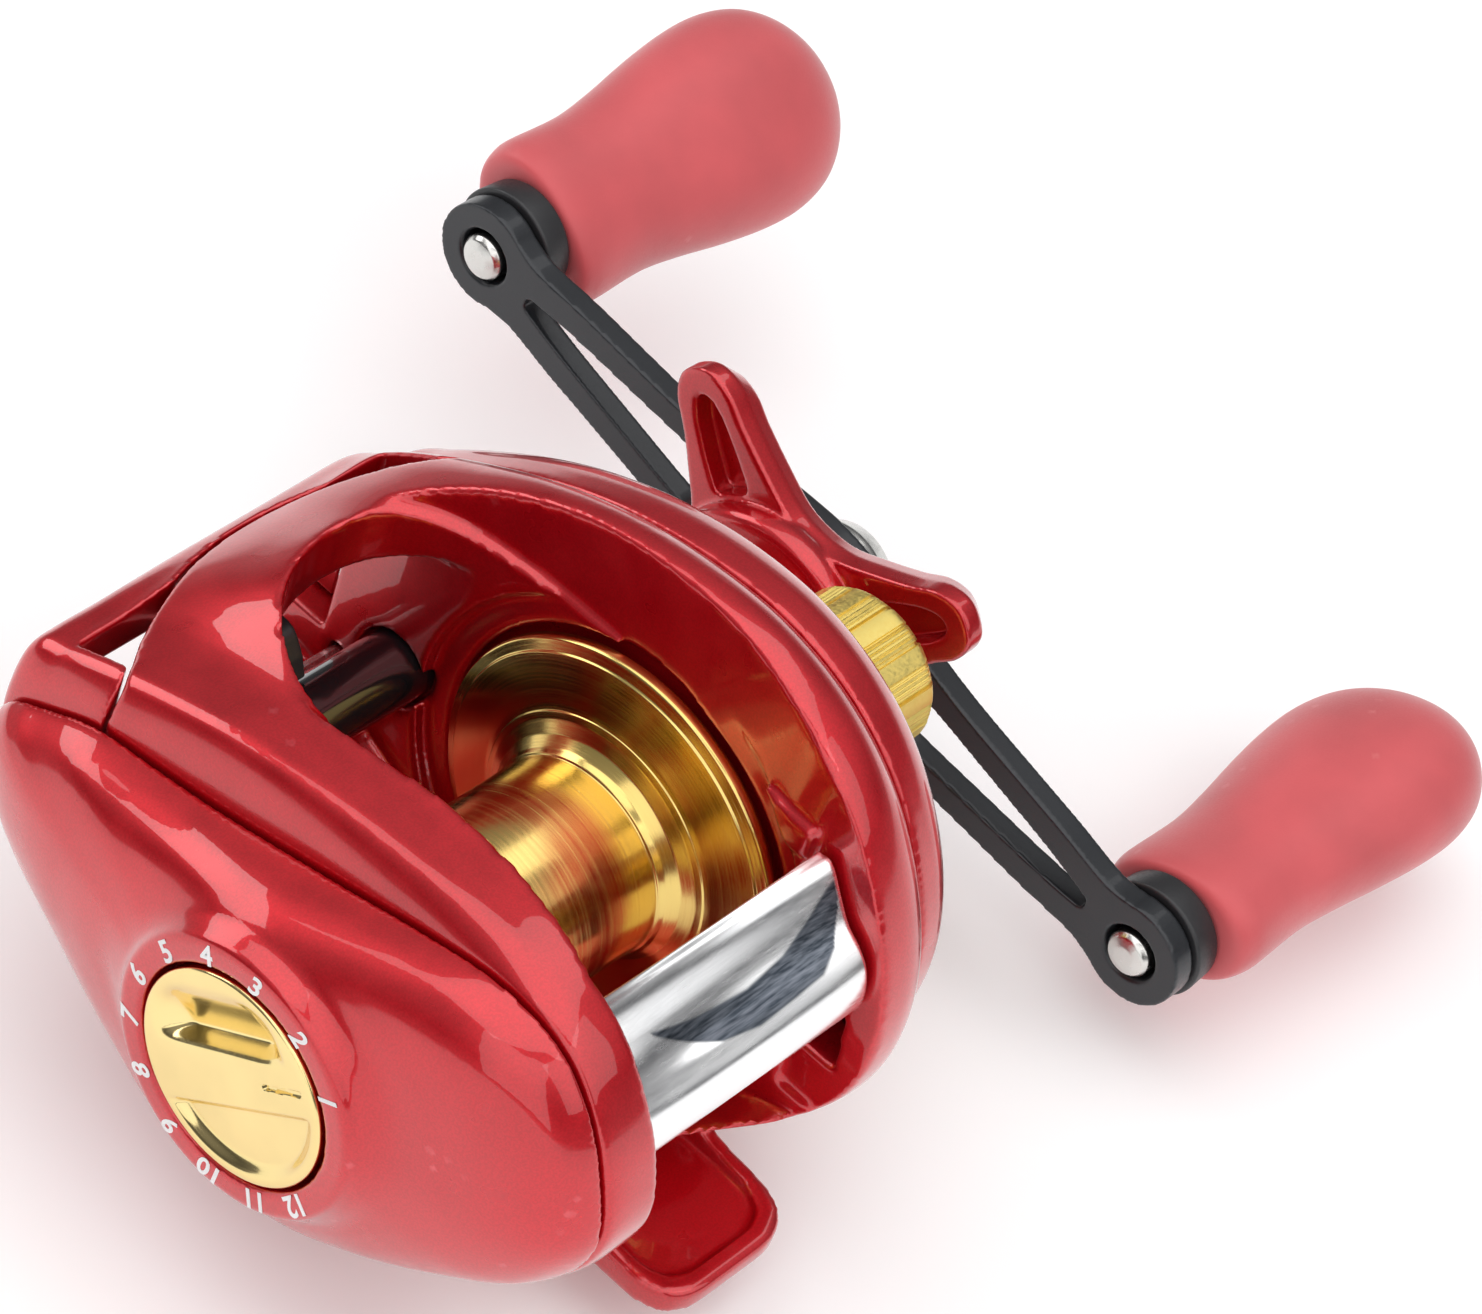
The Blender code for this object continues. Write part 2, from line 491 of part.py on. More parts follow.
pointer = [(u * math.cos(RIDGE) - v * math.sin(RIDGE), u * math.sin(RIDGE) + v * math.cos(RIDGE))
           for u, v in ((3.7, -0.2), (8.0, -0.2), (8.0, 0.2), (3.7, 0.2))]
boolean(dial, prism_x("cut_dial_pointer", pointer, -29.6, -28.65))

carrier_slide = empty("magnet_carrier_slide", (0, 0, 0), root)
turned("magnet_carrier", [(-20.6, 4.9), (-20.6, 8.6), (-18.9, 8.6), (-18.9, 4.9)], BLACK, carrier_slide, steps=24)
for k in range(4):
    a = math.pi / 4 + k * math.pi / 2
    turned("brake_magnet_%d" % (k + 1), [(-18.6, 0), (-18.6, 1.4), (-17.4, 1.4), (-17.4, 0)], MAGNET, carrier_slide,
           (0, 6.8 * math.cos(a), 6.8 * math.sin(a)), 10)

# ---- cast control knob -----------------------------------------------------------------------
tension_turn = empty("tension_knob_turn", (40, 0, 0), root)


def ribbed(radius, depth, count):
    """Knob outline: square ribs with narrow grooves between."""
    out = []
    step = 2 * math.pi / count
    for k in range(count):
        for r, share in ((radius, 0.0), (radius, 0.62), (radius - depth, 0.70), (radius - depth, 0.92)):
            out.append((r * math.cos(step * (k + share)), r * math.sin(step * (k + share))))
    return out


ribs = ribbed(TENSION_R, 0.4, 16)
tension = finish("cast_control_knob", loft_mesh("cast_control_knob", [
    [(x, y * s, z * s) for y, z in ribs] for x, s in ((33.7, 1.0), (43.3, 1.0), (TENSION_END, 0.87))]),
    GOLD, tension_turn)
boolean(tension, rod_x("cut_knob_thread", 5.5, 30, 40.6, count=18))
turned("tension_shim", [(40.25, 0), (40.25, 2.6), (40.5, 2.6), (40.5, 0)], STEEL, tension_turn, steps=16)

# ---- handle shaft and gears ----------------------------------------------------------------------
handle_spin = empty("handle_spin", (30, SHAFT_Y, SHAFT_Z), root)
AT_SHAFT = (0, SHAFT_Y, SHAFT_Z)
turned("drive_shaft", [(15.7, 0), (15.7, 2.1), (19.3, 2.1), (19.3, 3.2), (21.6, 3.2), (21.6, 7.8), (22.4, 7.8), (22.4, 3.0),
                       (45.2, 3.0), (45.2, 2.7), (51.0, 2.7), (53.8, 2.7), (53.8, 2.1), (57.6, 2.1), (57.6, 0)],
       STEEL, handle_spin, AT_SHAFT, 20)

mesh_angle = math.atan2(-SHAFT_Z, -SHAFT_Y)      # from the handle shaft towards the spool
main_loops = [gear_outline(MAIN_TEETH, MODULE, mesh_angle), circle(3.35, 14)]
flat("main_gear", main_loops, 22.7, 25.1, BRASS, handle_spin, AT_SHAFT)
pinion_slide = empty("yoke_slide", (0, 0, 0), root)
pinion_spin = empty("pinion_spin", (20, 0, 0), pinion_slide)
pinion_axis_angle = mesh_angle + math.pi + math.pi / PINION_TEETH
pinion = flat("pinion_gear", [gear_outline(PINION_TEETH, MODULE, pinion_axis_angle), circle(1.02, 14)],
              21.4, 27.9, BRASS, pinion_spin)
sleeve_profile = [(14.6, 1.52), (14.6, 2.9), (18.9, 2.9), (18.9, 2.0), (20.6, 2.0), (20.6, 2.9), (21.05, 2.9), (21.05, 1.3), (21.6, 1.3), (21.6, 1.02),
                  (16.9, 1.02), (16.9, 1.52)]
sleeve = as_cutter(turned("add_pinion_sleeve", sleeve_profile, BRASS, root, steps=24))
boolean(pinion, sleeve, "UNION")
boolean(pinion, block("cut_pinion_slot", (14.0, -0.65, -6), (15.95, 0.65, 6)))

drive_angle = math.atan2(WORM_Z - SHAFT_Z, WORM_Y - SHAFT_Y)
flat("idle_drive_gear", [gear_outline(DRIVE_TEETH, COG_MODULE, drive_angle), circle(3.5, 14)], 19.7, 21.3, PLASTIC,
     handle_spin, AT_SHAFT)
turned("drag_washer_carbon", [(25.4, 3.4), (25.4, 10.4), (25.8, 10.4), (25.8, 3.4)], CARBON, handle_spin, AT_SHAFT, 20)
turned("drag_pressure_washer", [(26.1, 3.4), (26.1, 9.0), (26.7, 9.0), (26.7, 3.4)], STEEL, handle_spin, AT_SHAFT, 20)
turned("one_way_bearing", [(30.2, 3.4), (30.2, 6.0), (37.8, 6.0), (37.8, 3.4)], STEEL, root, AT_SHAFT, 16)
for k, x in enumerate((38.4, 39.8)):
    turned("spring_washer_%d" % (k + 1), [(x, 3.3), (x + 0.55, 5.6), (x + 0.95, 5.6), (x + 0.4, 3.3)], STEEL, handle_spin,
           AT_SHAFT, 14)

# ---- clutch: cam, yoke, springs ---------------------------------------------------------------------
cam_turn = empty("clutch_cam_turn", (18, 0, 0), root)
cam_outline = [(r * math.cos(a), r * math.sin(a)) for a, r in (
    (2 * math.pi * k / 20, 6.6 + (1.1 if 8 <= k <= 11 else 0.0)) for k in range(20))]
flat("clutch_cam", [cam_outline, circle(3.4, 14)], 17.3, 18.6, PLASTIC, cam_turn)
yoke_outline = [(-4.8, -11.6), (-0.6, -11.6), (0.6, -8.0), (3.4, -3.2), (4.2, 0.0), (3.4, 3.2), (0.6, 8.0), (-0.6, 11.6), (-4.8, 11.6),
                (-5.4, 8.4), (-4.6, 3.2), (-4.4, 0), (-4.6, -3.2), (-5.4, -8.4)]
flat("clutch_yoke", [yoke_outline, circle(2.35, 14), circle(1.0, 8, (-2.7, 9.6)), circle(1.0, 8, (-2.7, -9.6))],
     19.35, 20.45, BLACK, pinion_slide)


def coil(name, x0, x1, radius, wire, turns, centre, parent, material=STEEL):
    curve = bpy.data.curves.new(name, "CURVE")
    curve.dimensions = "3D"
    curve.bevel_depth = wire * MM
    curve.bevel_resolution = 0
    curve.use_fill_caps = True
    count = int(turns * 8) + 1
    spline = curve.splines.new("POLY")
    spline.points.add(count - 1)
    for i, point in enumerate(spline.points):
        t = i / (count - 1)
        a = 2 * math.pi * turns * t
        point.co = ((x0 + (x1 - x0) * t) * MM, radius * math.cos(a) * MM, radius * math.sin(a) * MM, 1)
    obj = bpy.data.objects.new(name, curve)
    curve.materials.append(paint(name + "_finish", *material))
    reel.objects.link(obj)
    return place(obj, parent, (0, centre[0], centre[1]))


coil("yoke_spring_upper", 21.0, 27.2, 1.25, 0.2, 4, (-2.7, 9.6), root)
coil("yoke_spring_lower", 21.0, 27.2, 1.25, 0.2, 4, (-2.7, -9.6), root)

thumb_slide = empty("thumb_bar_slide", (0, -21, 8), root)
THUMB = [(-17.9, 15.2), (-18.6, 15.8), (-19.6, 15.6), (-21.2, 13.4), (-22.6, 11.6), (-24.2, 10.4), (-25.4, 9.0), (-26.0, 7.0),
         (-25.9, 5.0), (-25.0, 3.6), (-23.4, 3.2), (-21.9, 4.0), (-20.9, 6.0), (-19.8, 9.0), (-18.7, 12.2)]
thumb_rings = []
for x in (-13.8, -13.2, -9.0, -5.0, -1.0, 3.0, 7.0, 11.3, 11.9):
    dip = 2.6 * max(0.0, 1 - ((x + 1) / 12.4) ** 2)
    edge = 1.0 if x in (-13.8, 11.9) else 0.0
    ring = []
    for k, (y, z) in enumerate(THUMB):
        pull = {0: 0.35, 1: 0.6, 2: 0.8, 3: 0.9, 4: 0.7, 5: 0.25, 13: 0.2, 14: 0.3}.get(k, 0.0) * dip
        cy, cz = -22.0, 8.6
        y2, z2 = y + 0.34 * pull * 0.6, z - 0.94 * pull * 0.75
        ring.append((x, cy + (y2 - cy) * (1 - edge * 0.12), cz + (z2 - cz) * (1 - edge * 0.12)))
    thumb_rings.append(ring)
finish("thumb_bar", loft_mesh("thumb_bar", thumb_rings), CHROME, thumb_slide, smooth=40)
flat("clutch_lever", [[(-24.0, 4.4), (-22.6, 4.2), (-11.0, 0.4), (-8.6, 0.4), (-8.6, 2.6), (-11.0, 2.8), (-22.2, 8.0), (-23.4, 8.0)]],
     17.3, 18.6, STEEL, thumb_slide)
flat("clutch_bar_tab", [[(-23.7, 4.6), (-22.8, 4.4), (-21.9, 7.8), (-22.8, 8.0)]], 12.6, 17.0, STEEL, thumb_slide)

# ---- level wind -----------------------------------------------------------------------------------------
AT_WORM = (0, WORM_Y, WORM_Z)
tube_outer = [(TUBE_R * math.cos(a), TUBE_R * math.sin(a)) for a in [math.radians(28 + 304 * k / 20) for k in range(21)]]
tube_inner = [(2.6 * math.cos(a), 2.6 * math.sin(a)) for a in [math.radians(332 - 304 * k / 16) for k in range(17)]]
flat("level_wind_tube", [tube_outer + tube_inner], -13.6, 13.6, BLACK_GLOSS, root, AT_WORM, 40)
worm_spin = empty("worm_spin", (0, WORM_Y, WORM_Z), root)


def worm_ring(x, count=12):
    ring = []
    for i in range(count):
        a = 2 * math.pi * i / count
        turn = 2 * math.pi * (x + 12.0) / 6.0
        cut = max(math.cos(a - turn), math.cos(a + turn))
        depth = 0.5 * smoothstep((cut - 0.62) / 0.3) * smoothstep((12.2 - abs(x)) / 1.0)
        r = 2.15 - depth
        ring.append((x, r * math.cos(a), r * math.sin(a)))
    return ring


worm_rings = [worm_ring(-13.2 + 26.4 * k / 26) for k in range(27)]
worm_low = [[(x, r * math.cos(2 * math.pi * i / 12), r * math.sin(2 * math.pi * i / 12)) for i in range(12)]
            for x, r in ((-16.2, 1.2), (-13.9, 1.2), (-13.8, 2.15))]
worm_high = [[(x, r * math.cos(2 * math.pi * i / 12), r * math.sin(2 * math.pi * i / 12)) for i in range(12)]
             for x, r in ((13.8, 2.15), (13.9, 1.3), (22.3, 1.3))]
finish("worm_shaft", loft_mesh("worm_shaft", worm_low + worm_rings + worm_high), STEEL, worm_spin, AT_WORM)
cog_start = drive_angle + math.pi + math.pi / COG_TEETH
flat("worm_gear", [gear_outline(COG_TEETH, COG_MODULE, cog_start), circle(1.62, 10)], 19.7, 21.3, PLASTIC, worm_spin, AT_WORM)
turned("guide_rod", [(-14.2, 0), (-14.2, 0.8), (14.2, 0.8), (14.2, 0)], STEEL, root, (0, 28.8, -5.2), 12)

guide_slide = empty("line_guide_slide", (0, 28, 0), root)
saddle = [(WORM_Y + 3.55 * math.cos(a), WORM_Z + 3.55 * math.sin(a)) for a in [math.radians(-66 + 132 * k / 10) for k in range(11)]]
guide_side = [(26.4, -6.9), (30.2, -6.9), (30.8, -5.6), (30.6, 2.0), (31.0, 4.6), (29.6, 5.4), (27.0, 5.2), (25.6, 3.2)] + saddle[::-1]
guide = flat("line_guide", [guide_side, circle(1.05, 12, (28.8, -5.2))], -2.9, 2.9, BLACK, guide_slide)
boolean(guide, solid("cut_line_eye", loft_mesh("cut_line_eye", [
    [(1.5 * math.cos(a), y, 2.4 + 1.3 * math.sin(a)) for a in [2 * math.pi * k / 20 for k in range(20)]] for y in (20, 40)])))
boolean(guide, solid("cut_pawl_seat", loft_mesh("cut_pawl_seat", [
    [(1.3 * math.cos(a), y, WORM_Z + 1.3 * math.sin(a)) for a in [2 * math.pi * k / 12 for k in range(12)]] for y in (20, 28.4)])))
turned("pawl", [(-0.8, 0), (-0.8, 1.0), (0.8, 1.0), (0.8, 0)], STEEL, guide_slide, (0, 0, 0), 12)
pawl = bpy.data.objects["pawl"]
pawl.rotation_euler = (math.radians(-90), 0, 0)
pawl.location = (Vector((0, WORM_Y + 3.35, WORM_Z)) - Vector(guide_slide["at"])) * MM
pawl.name = "line_guide_pawl"

# ---- handle: arm, nut, pins, knobs, star drag ----------------------------------------------------------------
U = (math.cos(ARM_ANGLE), math.sin(ARM_ANGLE))
V = (-U[1], U[0])


def in_arm(u, v):
    return (u * U[0] + v * V[0], u * U[1] + v * V[1])


def arm_outline():
    out = []
    for end in (0, 1):
        for k in range(9):
            a = math.radians(-118 + 236 * k / 8)
            out.append((ARM_HALF + 4.9 * math.cos(a), 4.9 * math.sin(a), end))
        out += [(u, w, end) for u, w in ((35.6, 3.75), (30.0, 4.3), (24.0, 4.7), (17.0, 5.25), (11.0, 6.2), (4.5, 7.6))]
        out += [(-u, w, end) for u, w in ((4.5, 7.6), (11.0, 6.2), (17.0, 5.25), (24.0, 4.7), (30.0, 4.3), (35.6, 3.75))]
    return [in_arm(*((u, v) if not end else (-u, -v))) for u, v, end in out]


def slot(sign):
    edge = [(35.2, 0.45), (34.2, 0.85), (29.5, 1.55), (22.0, 2.25), (15.0, 2.85), (13.2, 2.6), (12.4, 1.5)]
    pts = [(u, w) for u, w in edge] + [(u, -w) for u, w in edge[::-1]]
    return [in_arm(sign * u, sign * v) for u, v in pts]


PINS = [in_arm(ARM_HALF, 0), in_arm(-ARM_HALF, 0)]
flat("handle_arm", [arm_outline(), slot(1), slot(-1), circle(3.05, 16), circle(2.5, 12, PINS[0]), circle(2.5, 12, PINS[1])],
     ARM_IN, ARM_IN + ARM_T, ANODISED, handle_spin, AT_SHAFT)
nut_profile = [(54.0, 2.4), (54.0, 5.2), (56.6, 5.2), (58.6, 4.1), (59.6, 2.4), (59.8, 0), (58.2, 0), (58.2, 2.4)]
turned("handle_nut", nut_profile, STEEL, handle_spin, AT_SHAFT, 20)

KNOB_SHAPE = [(57.2, 6.6, 4.8), (58.2, 7.5, 5.3), (60.0, 7.8, 5.4), (66.0, 7.6, 5.3), (71.0, 8.2, 5.6), (76.0, 9.1, 6.0),
              (81.0, 9.8, 6.4), (85.0, 9.8, 6.5), (88.5, 9.0, 6.1), (91.2, 7.3, 5.1), (93.2, 5.0, 3.6), (94.5, 2.2, 1.7)]
KNOB_TURN = (math.radians(32), math.radians(-22))
for number, (pin, spin) in enumerate(zip(PINS, KNOB_TURN), 1):
    at = (0, SHAFT_Y + pin[0], SHAFT_Z + pin[1])
    turned("knob_pin_%d" % number, [(50.9, 0), (50.9, 1.8), (51.3, 2.15), (54.2, 2.15), (54.2, 2.0), (80.4, 2.0), (80.4, 0)],
           STEEL, handle_spin, at, 12)
    turned("knob_collar_%d" % number, [(54.0, 2.45), (54.0, 5.3), (56.9, 5.1), (56.9, 2.45)], BLACK, handle_spin, at, 18)
    axis = empty("knob_spin_%d" % number, (60, at[1], at[2]), handle_spin)
    rings = []
    for x, a, b in KNOB_SHAPE:
        ring = []
        for i in range(18):
            t = 2 * math.pi * i / 18
            u, v = a * math.copysign(abs(math.cos(t)) ** 0.92, math.cos(t)), b * math.copysign(abs(math.sin(t)) ** 0.92, math.sin(t))
            ring.append((x, u * math.cos(spin) - v * math.sin(spin), u * math.sin(spin) + v * math.cos(spin)))
        rings.append(ring)
    knob = finish("handle_knob_%d" % number, loft_mesh("handle_knob_%d" % number, rings), CORAL, axis, at)
    boolean(knob, rod_x("cut_knob_bore_%d" % number, 2.35, 50, 81.2, (at[1], at[2]), 10))

star_turn = empty("star_drag_turn", (48, SHAFT_Y, SHAFT_Z), handle_spin)


def star_outline(scale=1.0):
    out = []
    for k in range(4):
        mid = math.radians(STAR_TURN + 90 * k)
        for off, r in ((-45, 10.4), (-30, 11.2), (-19, 13.9), (-11.5, 17.6), (-8.6, 20.4), (-4.6, 22.2), (0, STAR_R),
                       (4.6, 22.2), (8.6, 20.4), (11.5, 17.6), (19, 13.9), (30, 11.2)):
            a = mid + math.radians(off)
            out.append((r * scale * math.cos(a), r * scale * math.sin(a)))
    return out


star = finish("star_drag", loft_mesh("star_drag", [
    [(x, y, z) for y, z in star_outline(s)] for x, s in ((47.4, 1.0), (49.2, 1.0), (51.0, 0.925))]),
    CANDY, star_turn, AT_SHAFT, smooth=30)
boolean(star, rod_x("cut_star_bore", 5.4, 44, 54, SHAFT, 20))
hub = as_cutter(turned("add_star_hub", [(44.9, 5.4), (44.9, 10.2), (45.4, 10.8), (46.6, 11.0), (47.9, 10.6), (47.9, 5.4)], CANDY, root, AT_SHAFT, 28))
boolean(star, hub, "UNION")
for k in range(4):
    a0 = math.radians(STAR_TURN + 90 * k)
    pocket = [(SHAFT_Y + r * math.cos(a0 + w), SHAFT_Z + r * math.sin(a0 + w)) for r, w in (
        (11.4, -0.17), (14.5, -0.13), (18.0, -0.085), (19.8, -0.045), (20.3, 0.0), (19.8, 0.045), (18.0, 0.085), (14.5, 0.13),
        (11.4, 0.17))]
    boolean(star, prism_x("cut_star_recess_%d" % (k + 1), pocket, 44.0, 49.4))
turned("star_nut", [(45.5, 3.3), (45.5, 5.1), (50.6, 5.1), (50.6, 3.3)], BRASS, star_turn, AT_SHAFT, 16)

bpy.context.view_layer.update()
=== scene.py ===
"""Looks for the baitcasting reel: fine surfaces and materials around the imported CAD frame."""
import json
import math

import bmesh
import bpy
from mathutils import Matrix, Vector

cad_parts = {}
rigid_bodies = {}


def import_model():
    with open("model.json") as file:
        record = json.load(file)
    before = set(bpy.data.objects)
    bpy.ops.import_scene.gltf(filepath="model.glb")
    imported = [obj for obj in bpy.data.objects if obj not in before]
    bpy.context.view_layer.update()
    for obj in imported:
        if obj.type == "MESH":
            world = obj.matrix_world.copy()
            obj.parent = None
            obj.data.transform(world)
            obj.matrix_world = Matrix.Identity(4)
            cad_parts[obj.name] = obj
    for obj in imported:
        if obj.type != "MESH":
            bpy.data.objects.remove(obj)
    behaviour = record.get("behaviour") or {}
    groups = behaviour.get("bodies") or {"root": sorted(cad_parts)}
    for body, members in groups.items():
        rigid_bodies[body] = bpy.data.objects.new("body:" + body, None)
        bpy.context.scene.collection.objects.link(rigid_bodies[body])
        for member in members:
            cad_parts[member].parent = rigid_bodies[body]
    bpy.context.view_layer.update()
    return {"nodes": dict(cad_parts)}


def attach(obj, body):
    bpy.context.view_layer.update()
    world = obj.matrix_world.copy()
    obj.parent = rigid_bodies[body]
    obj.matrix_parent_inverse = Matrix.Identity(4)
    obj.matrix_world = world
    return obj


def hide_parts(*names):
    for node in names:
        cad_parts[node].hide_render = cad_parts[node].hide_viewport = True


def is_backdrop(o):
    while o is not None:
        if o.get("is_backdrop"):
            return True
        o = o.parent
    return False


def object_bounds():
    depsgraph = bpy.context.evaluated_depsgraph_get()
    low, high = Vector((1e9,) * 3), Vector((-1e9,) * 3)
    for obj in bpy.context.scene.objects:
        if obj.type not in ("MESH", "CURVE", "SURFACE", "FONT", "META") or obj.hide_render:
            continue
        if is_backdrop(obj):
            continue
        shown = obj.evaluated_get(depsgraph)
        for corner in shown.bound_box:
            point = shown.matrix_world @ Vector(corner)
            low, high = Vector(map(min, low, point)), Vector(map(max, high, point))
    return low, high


for old in list(bpy.data.objects):
    bpy.data.objects.remove(old, do_unlink=True)

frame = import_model()


NODES = frame["nodes"]
MM = 0.001
OX, OZ = -3.8, 21.0          # design frame (spool centre) to row frame, mm

# ------------------------------------------------------------------ mesh helpers
def row(p):
    return Vector(((p[0] + OX) * MM, p[1] * MM, (p[2] + OZ) * MM))


def make_mesh(name, points, faces, triangulate=True):
    bm = bmesh.new()
    vs = [bm.verts.new(row(p)) for p in points]
    for f in faces:
        bm.faces.new([vs[i] for i in f])
    bmesh.ops.recalc_face_normals(bm, faces=bm.faces)
    if triangulate:
        bmesh.ops.triangulate(bm, faces=[f for f in bm.faces if len(f.verts) > 3], quad_method="SHORT_EDGE")
    mesh = bpy.data.meshes.new(name)
    bm.to_mesh(mesh)
    bm.free()
    return mesh


def loft(name, rings, cyclic=False, triangulate=True):
    n, m = len(rings[0]), len(rings)
    faces = []
    for k in range(m if cyclic else m - 1):
        a, b = k * n, ((k + 1) % m) * n
        for i in range(n):
            j = (i + 1) % n
            faces.append((a + i, a + j, b + j, b + i))
    if not cyclic:
        faces.append(tuple(range(n))[::-1])
        faces.append(tuple((m - 1) * n + i for i in range(n)))
    return make_mesh(name, [p for r in rings for p in r], faces, triangulate)


def rounded(points, radius, closed=False, n=4):
    """Polyline with each corner replaced by a short curve."""
    out = []
    count = len(points)
    for i, p in enumerate(points):
        if not closed and i in (0, count - 1):
            out.append(p)
            continue
        a, b = points[i - 1], points[(i + 1) % count]
        la, lb = math.dist(a, p), math.dist(b, p)
        if la < 1e-6 or lb < 1e-6:
            continue
        cut = min(radius, la * 0.48, lb * 0.48)
        start = tuple(q + (w - q) * cut / la for q, w in zip(p, a))
        end = tuple(q + (w - q) * cut / lb for q, w in zip(p, b))
        for k in range(n + 1):
            t = k / n
            out.append(tuple((1 - t) ** 2 * s + 2 * t * (1 - t) * q + t * t * e for s, q, e in zip(start, p, end)))
    return out


def spun(name, profile, centre=(0.0, 0.0), steps=96, radius=0.2, squash=None):
    """Profile of (x, r) turned about a line along X. Ends on the axis, or a closed loop with a bore."""
    bore = profile[0][1] > 0 and profile[-1][1] > 0
    profile = rounded(profile, radius, closed=bore)
    points, rows = [], []
    for x, r in profile:
        if r < 1e-5:
            rows.append([len(points)])
            points.append((x, centre[0], centre[1]))
        else:
            rows.append(list(range(len(points), len(points) + steps)))
            for i in range(steps):
                a = 2 * math.pi * i / steps
                points.append((x, centre[0] + r * math.cos(a), centre[1] + r * math.sin(a)))
    faces = []
    pairs = list(zip(rows, rows[1:])) + ([(rows[-1], rows[0])] if bore else [])
    for a, b in pairs:
        for i in range(steps):
            j = (i + 1) % steps
            if len(a) == 1 and len(b) == 1:
                break
            if len(a) == 1:
                faces.append((a[0], b[i], b[j]))
            elif len(b) == 1:
                faces.append((a[i], a[j], b[0]))
            else:
                faces.append((a[i], a[j], b[j], b[i]))
    return make_mesh(name, points, faces, False)


def circle(radius, count=48, centre=(0, 0), start=0.0):
    return [(centre[0] + radius * math.cos(start + 2 * math.pi * i / count),
             centre[1] + radius * math.sin(start + 2 * math.pi * i / count)) for i in range(count)]


def spline_loop(points, per=3):
    out = []
    n = len(points)
    for i in range(n):
        p0, p1, p2, p3 = (points[(i + k - 1) % n] for k in range(4))
        for s in range(per):
            t = s / per
            out.append(tuple(
                0.5 * (2 * b + (c - a) * t + (2 * a - 5 * b + 4 * c - d) * t * t + (3 * b - a - 3 * c + d) * t ** 3)
                for a, b, c, d in zip(p0, p1, p2, p3)))
    return out


def spline_rows(rows, per=4):
    """Open Catmull-Rom through rows of numbers or rings; first and last kept."""
    out = []
    n = len(rows)
    for i in range(n - 1):
        quad = [rows[max(0, min(n - 1, i + k - 1))] for k in range(4)]
        for s in range(per):
            t = s / per
            out.append([blend4(a, b, c, d, t) for a, b, c, d in zip(*quad)])
    out.append(list(rows[-1]))
    return out


def blend4(a, b, c, d, t):
    if isinstance(a, (tuple, list)):
        return tuple(blend4(*q, t) for q in zip(a, b, c, d))
    return 0.5 * (2 * b + (c - a) * t + (2 * a - 5 * b + 4 * c - d) * t * t + (3 * b - a - 3 * c + d) * t ** 3)


def mix(a, b, t):
    return [tuple(p + (q - p) * t for p, q in zip(u, v)) for u, v in zip(a, b)]


def smoothstep(t):
    t = min(1.0, max(0.0, t))
    return t * t * (3 - 2 * t)


def hold(name, mesh):
    obj = bpy.data.objects.new(name, mesh)
    bpy.context.scene.collection.objects.link(obj)
    return obj


def baked(obj):
    bpy.context.view_layer.update()
    graph = bpy.context.evaluated_depsgraph_get()
    mesh = bpy.data.meshes.new_from_object(obj.evaluated_get(graph))
    bpy.data.objects.remove(obj, do_unlink=True)
    return mesh


def csg(name, mesh, steps):
    for kind, other in steps:
        operation = {"-": "DIFFERENCE", "+": "UNION", "*": "INTERSECT"}[kind]
        count = (len(mesh.vertices), len(mesh.polygons))
        for solver in ("MANIFOLD", "EXACT"):
            obj, tool = hold(name, mesh), hold(name + "_tool", other)
            modifier = obj.modifiers.new("cut", "BOOLEAN")
            modifier.object, modifier.operation, modifier.solver = tool, operation, solver
            out = baked(obj)
            bpy.data.objects.remove(tool, do_unlink=True)
            if len(out.polygons) and (len(out.vertices), len(out.polygons)) != count:
                break
        mesh = out
    return mesh


def soften(name, mesh, voxel, rounds, factor=0.5):
    """Even skin over the shape, with its edges eased."""
    obj = hold(name, mesh)
    modifier = obj.modifiers.new("skin", "REMESH")
    modifier.mode = "VOXEL"
    modifier.voxel_size = voxel * MM
    modifier.use_smooth_shade = True
    if rounds:
        ease = obj.modifiers.new("ease", "SMOOTH")
        ease.factor = factor
        ease.iterations = rounds
    return baked(obj)


def prism_z(plan, low, high, low_plan=None):
    return loft("cut", [[(x, y, low) for x, y in low_plan or plan], [(x, y, high) for x, y in plan]])


def prism_x(side, low, high, high_side=None):
    return loft("cut", [[(low, y, z) for y, z in side], [(high, y, z) for y, z in high_side or side]])


def rod_x(radius, low, high, centre=(0, 0), count=72):
    return prism_x(circle(radius, count, centre), low, high)


def block(low, high):
    (x0, y0, z0), (x1, y1, z1) = low, high
    return prism_z([(x0, y0), (x1, y0), (x1, y1), (x0, y1)], z0, z1)


# ------------------------------------------------------------------ materials
def material(name, colour, rough, metal=0.0, coat=0.0, coat_rough=0.03, coat_ior=1.5, spec=0.5, sheen=0.0, aniso=0.0):
    m = bpy.data.materials.new(name)
    m.use_nodes = True
    nodes, links = m.node_tree.nodes, m.node_tree.links
    shader = nodes["Principled BSDF"]
    put = shader.inputs
    put["Base Color"].default_value = (*colour, 1)
    put["Roughness"].default_value = rough
    put["Metallic"].default_value = metal
    put["Coat Weight"].default_value = coat
    put["Coat Roughness"].default_value = coat_rough
    put["Coat IOR"].default_value = coat_ior
    put["Specular IOR Level"].default_value = spec
    put["Sheen Weight"].default_value = sheen
    m.diffuse_color = (*colour, 1)
    where = nodes.new("ShaderNodeTexCoord").outputs["Object"]
    return m, nodes, links, shader, where


def noise(nodes, links, vector, scale, detail=2.0, rough=0.5):
    t = nodes.new("ShaderNodeTexNoise")
    t.inputs["Scale"].default_value = scale
    t.inputs["Detail"].default_value = detail
    t.inputs["Roughness"].default_value = rough
    links.new(vector, t.inputs["Vector"])
    return t.outputs["Fac"]


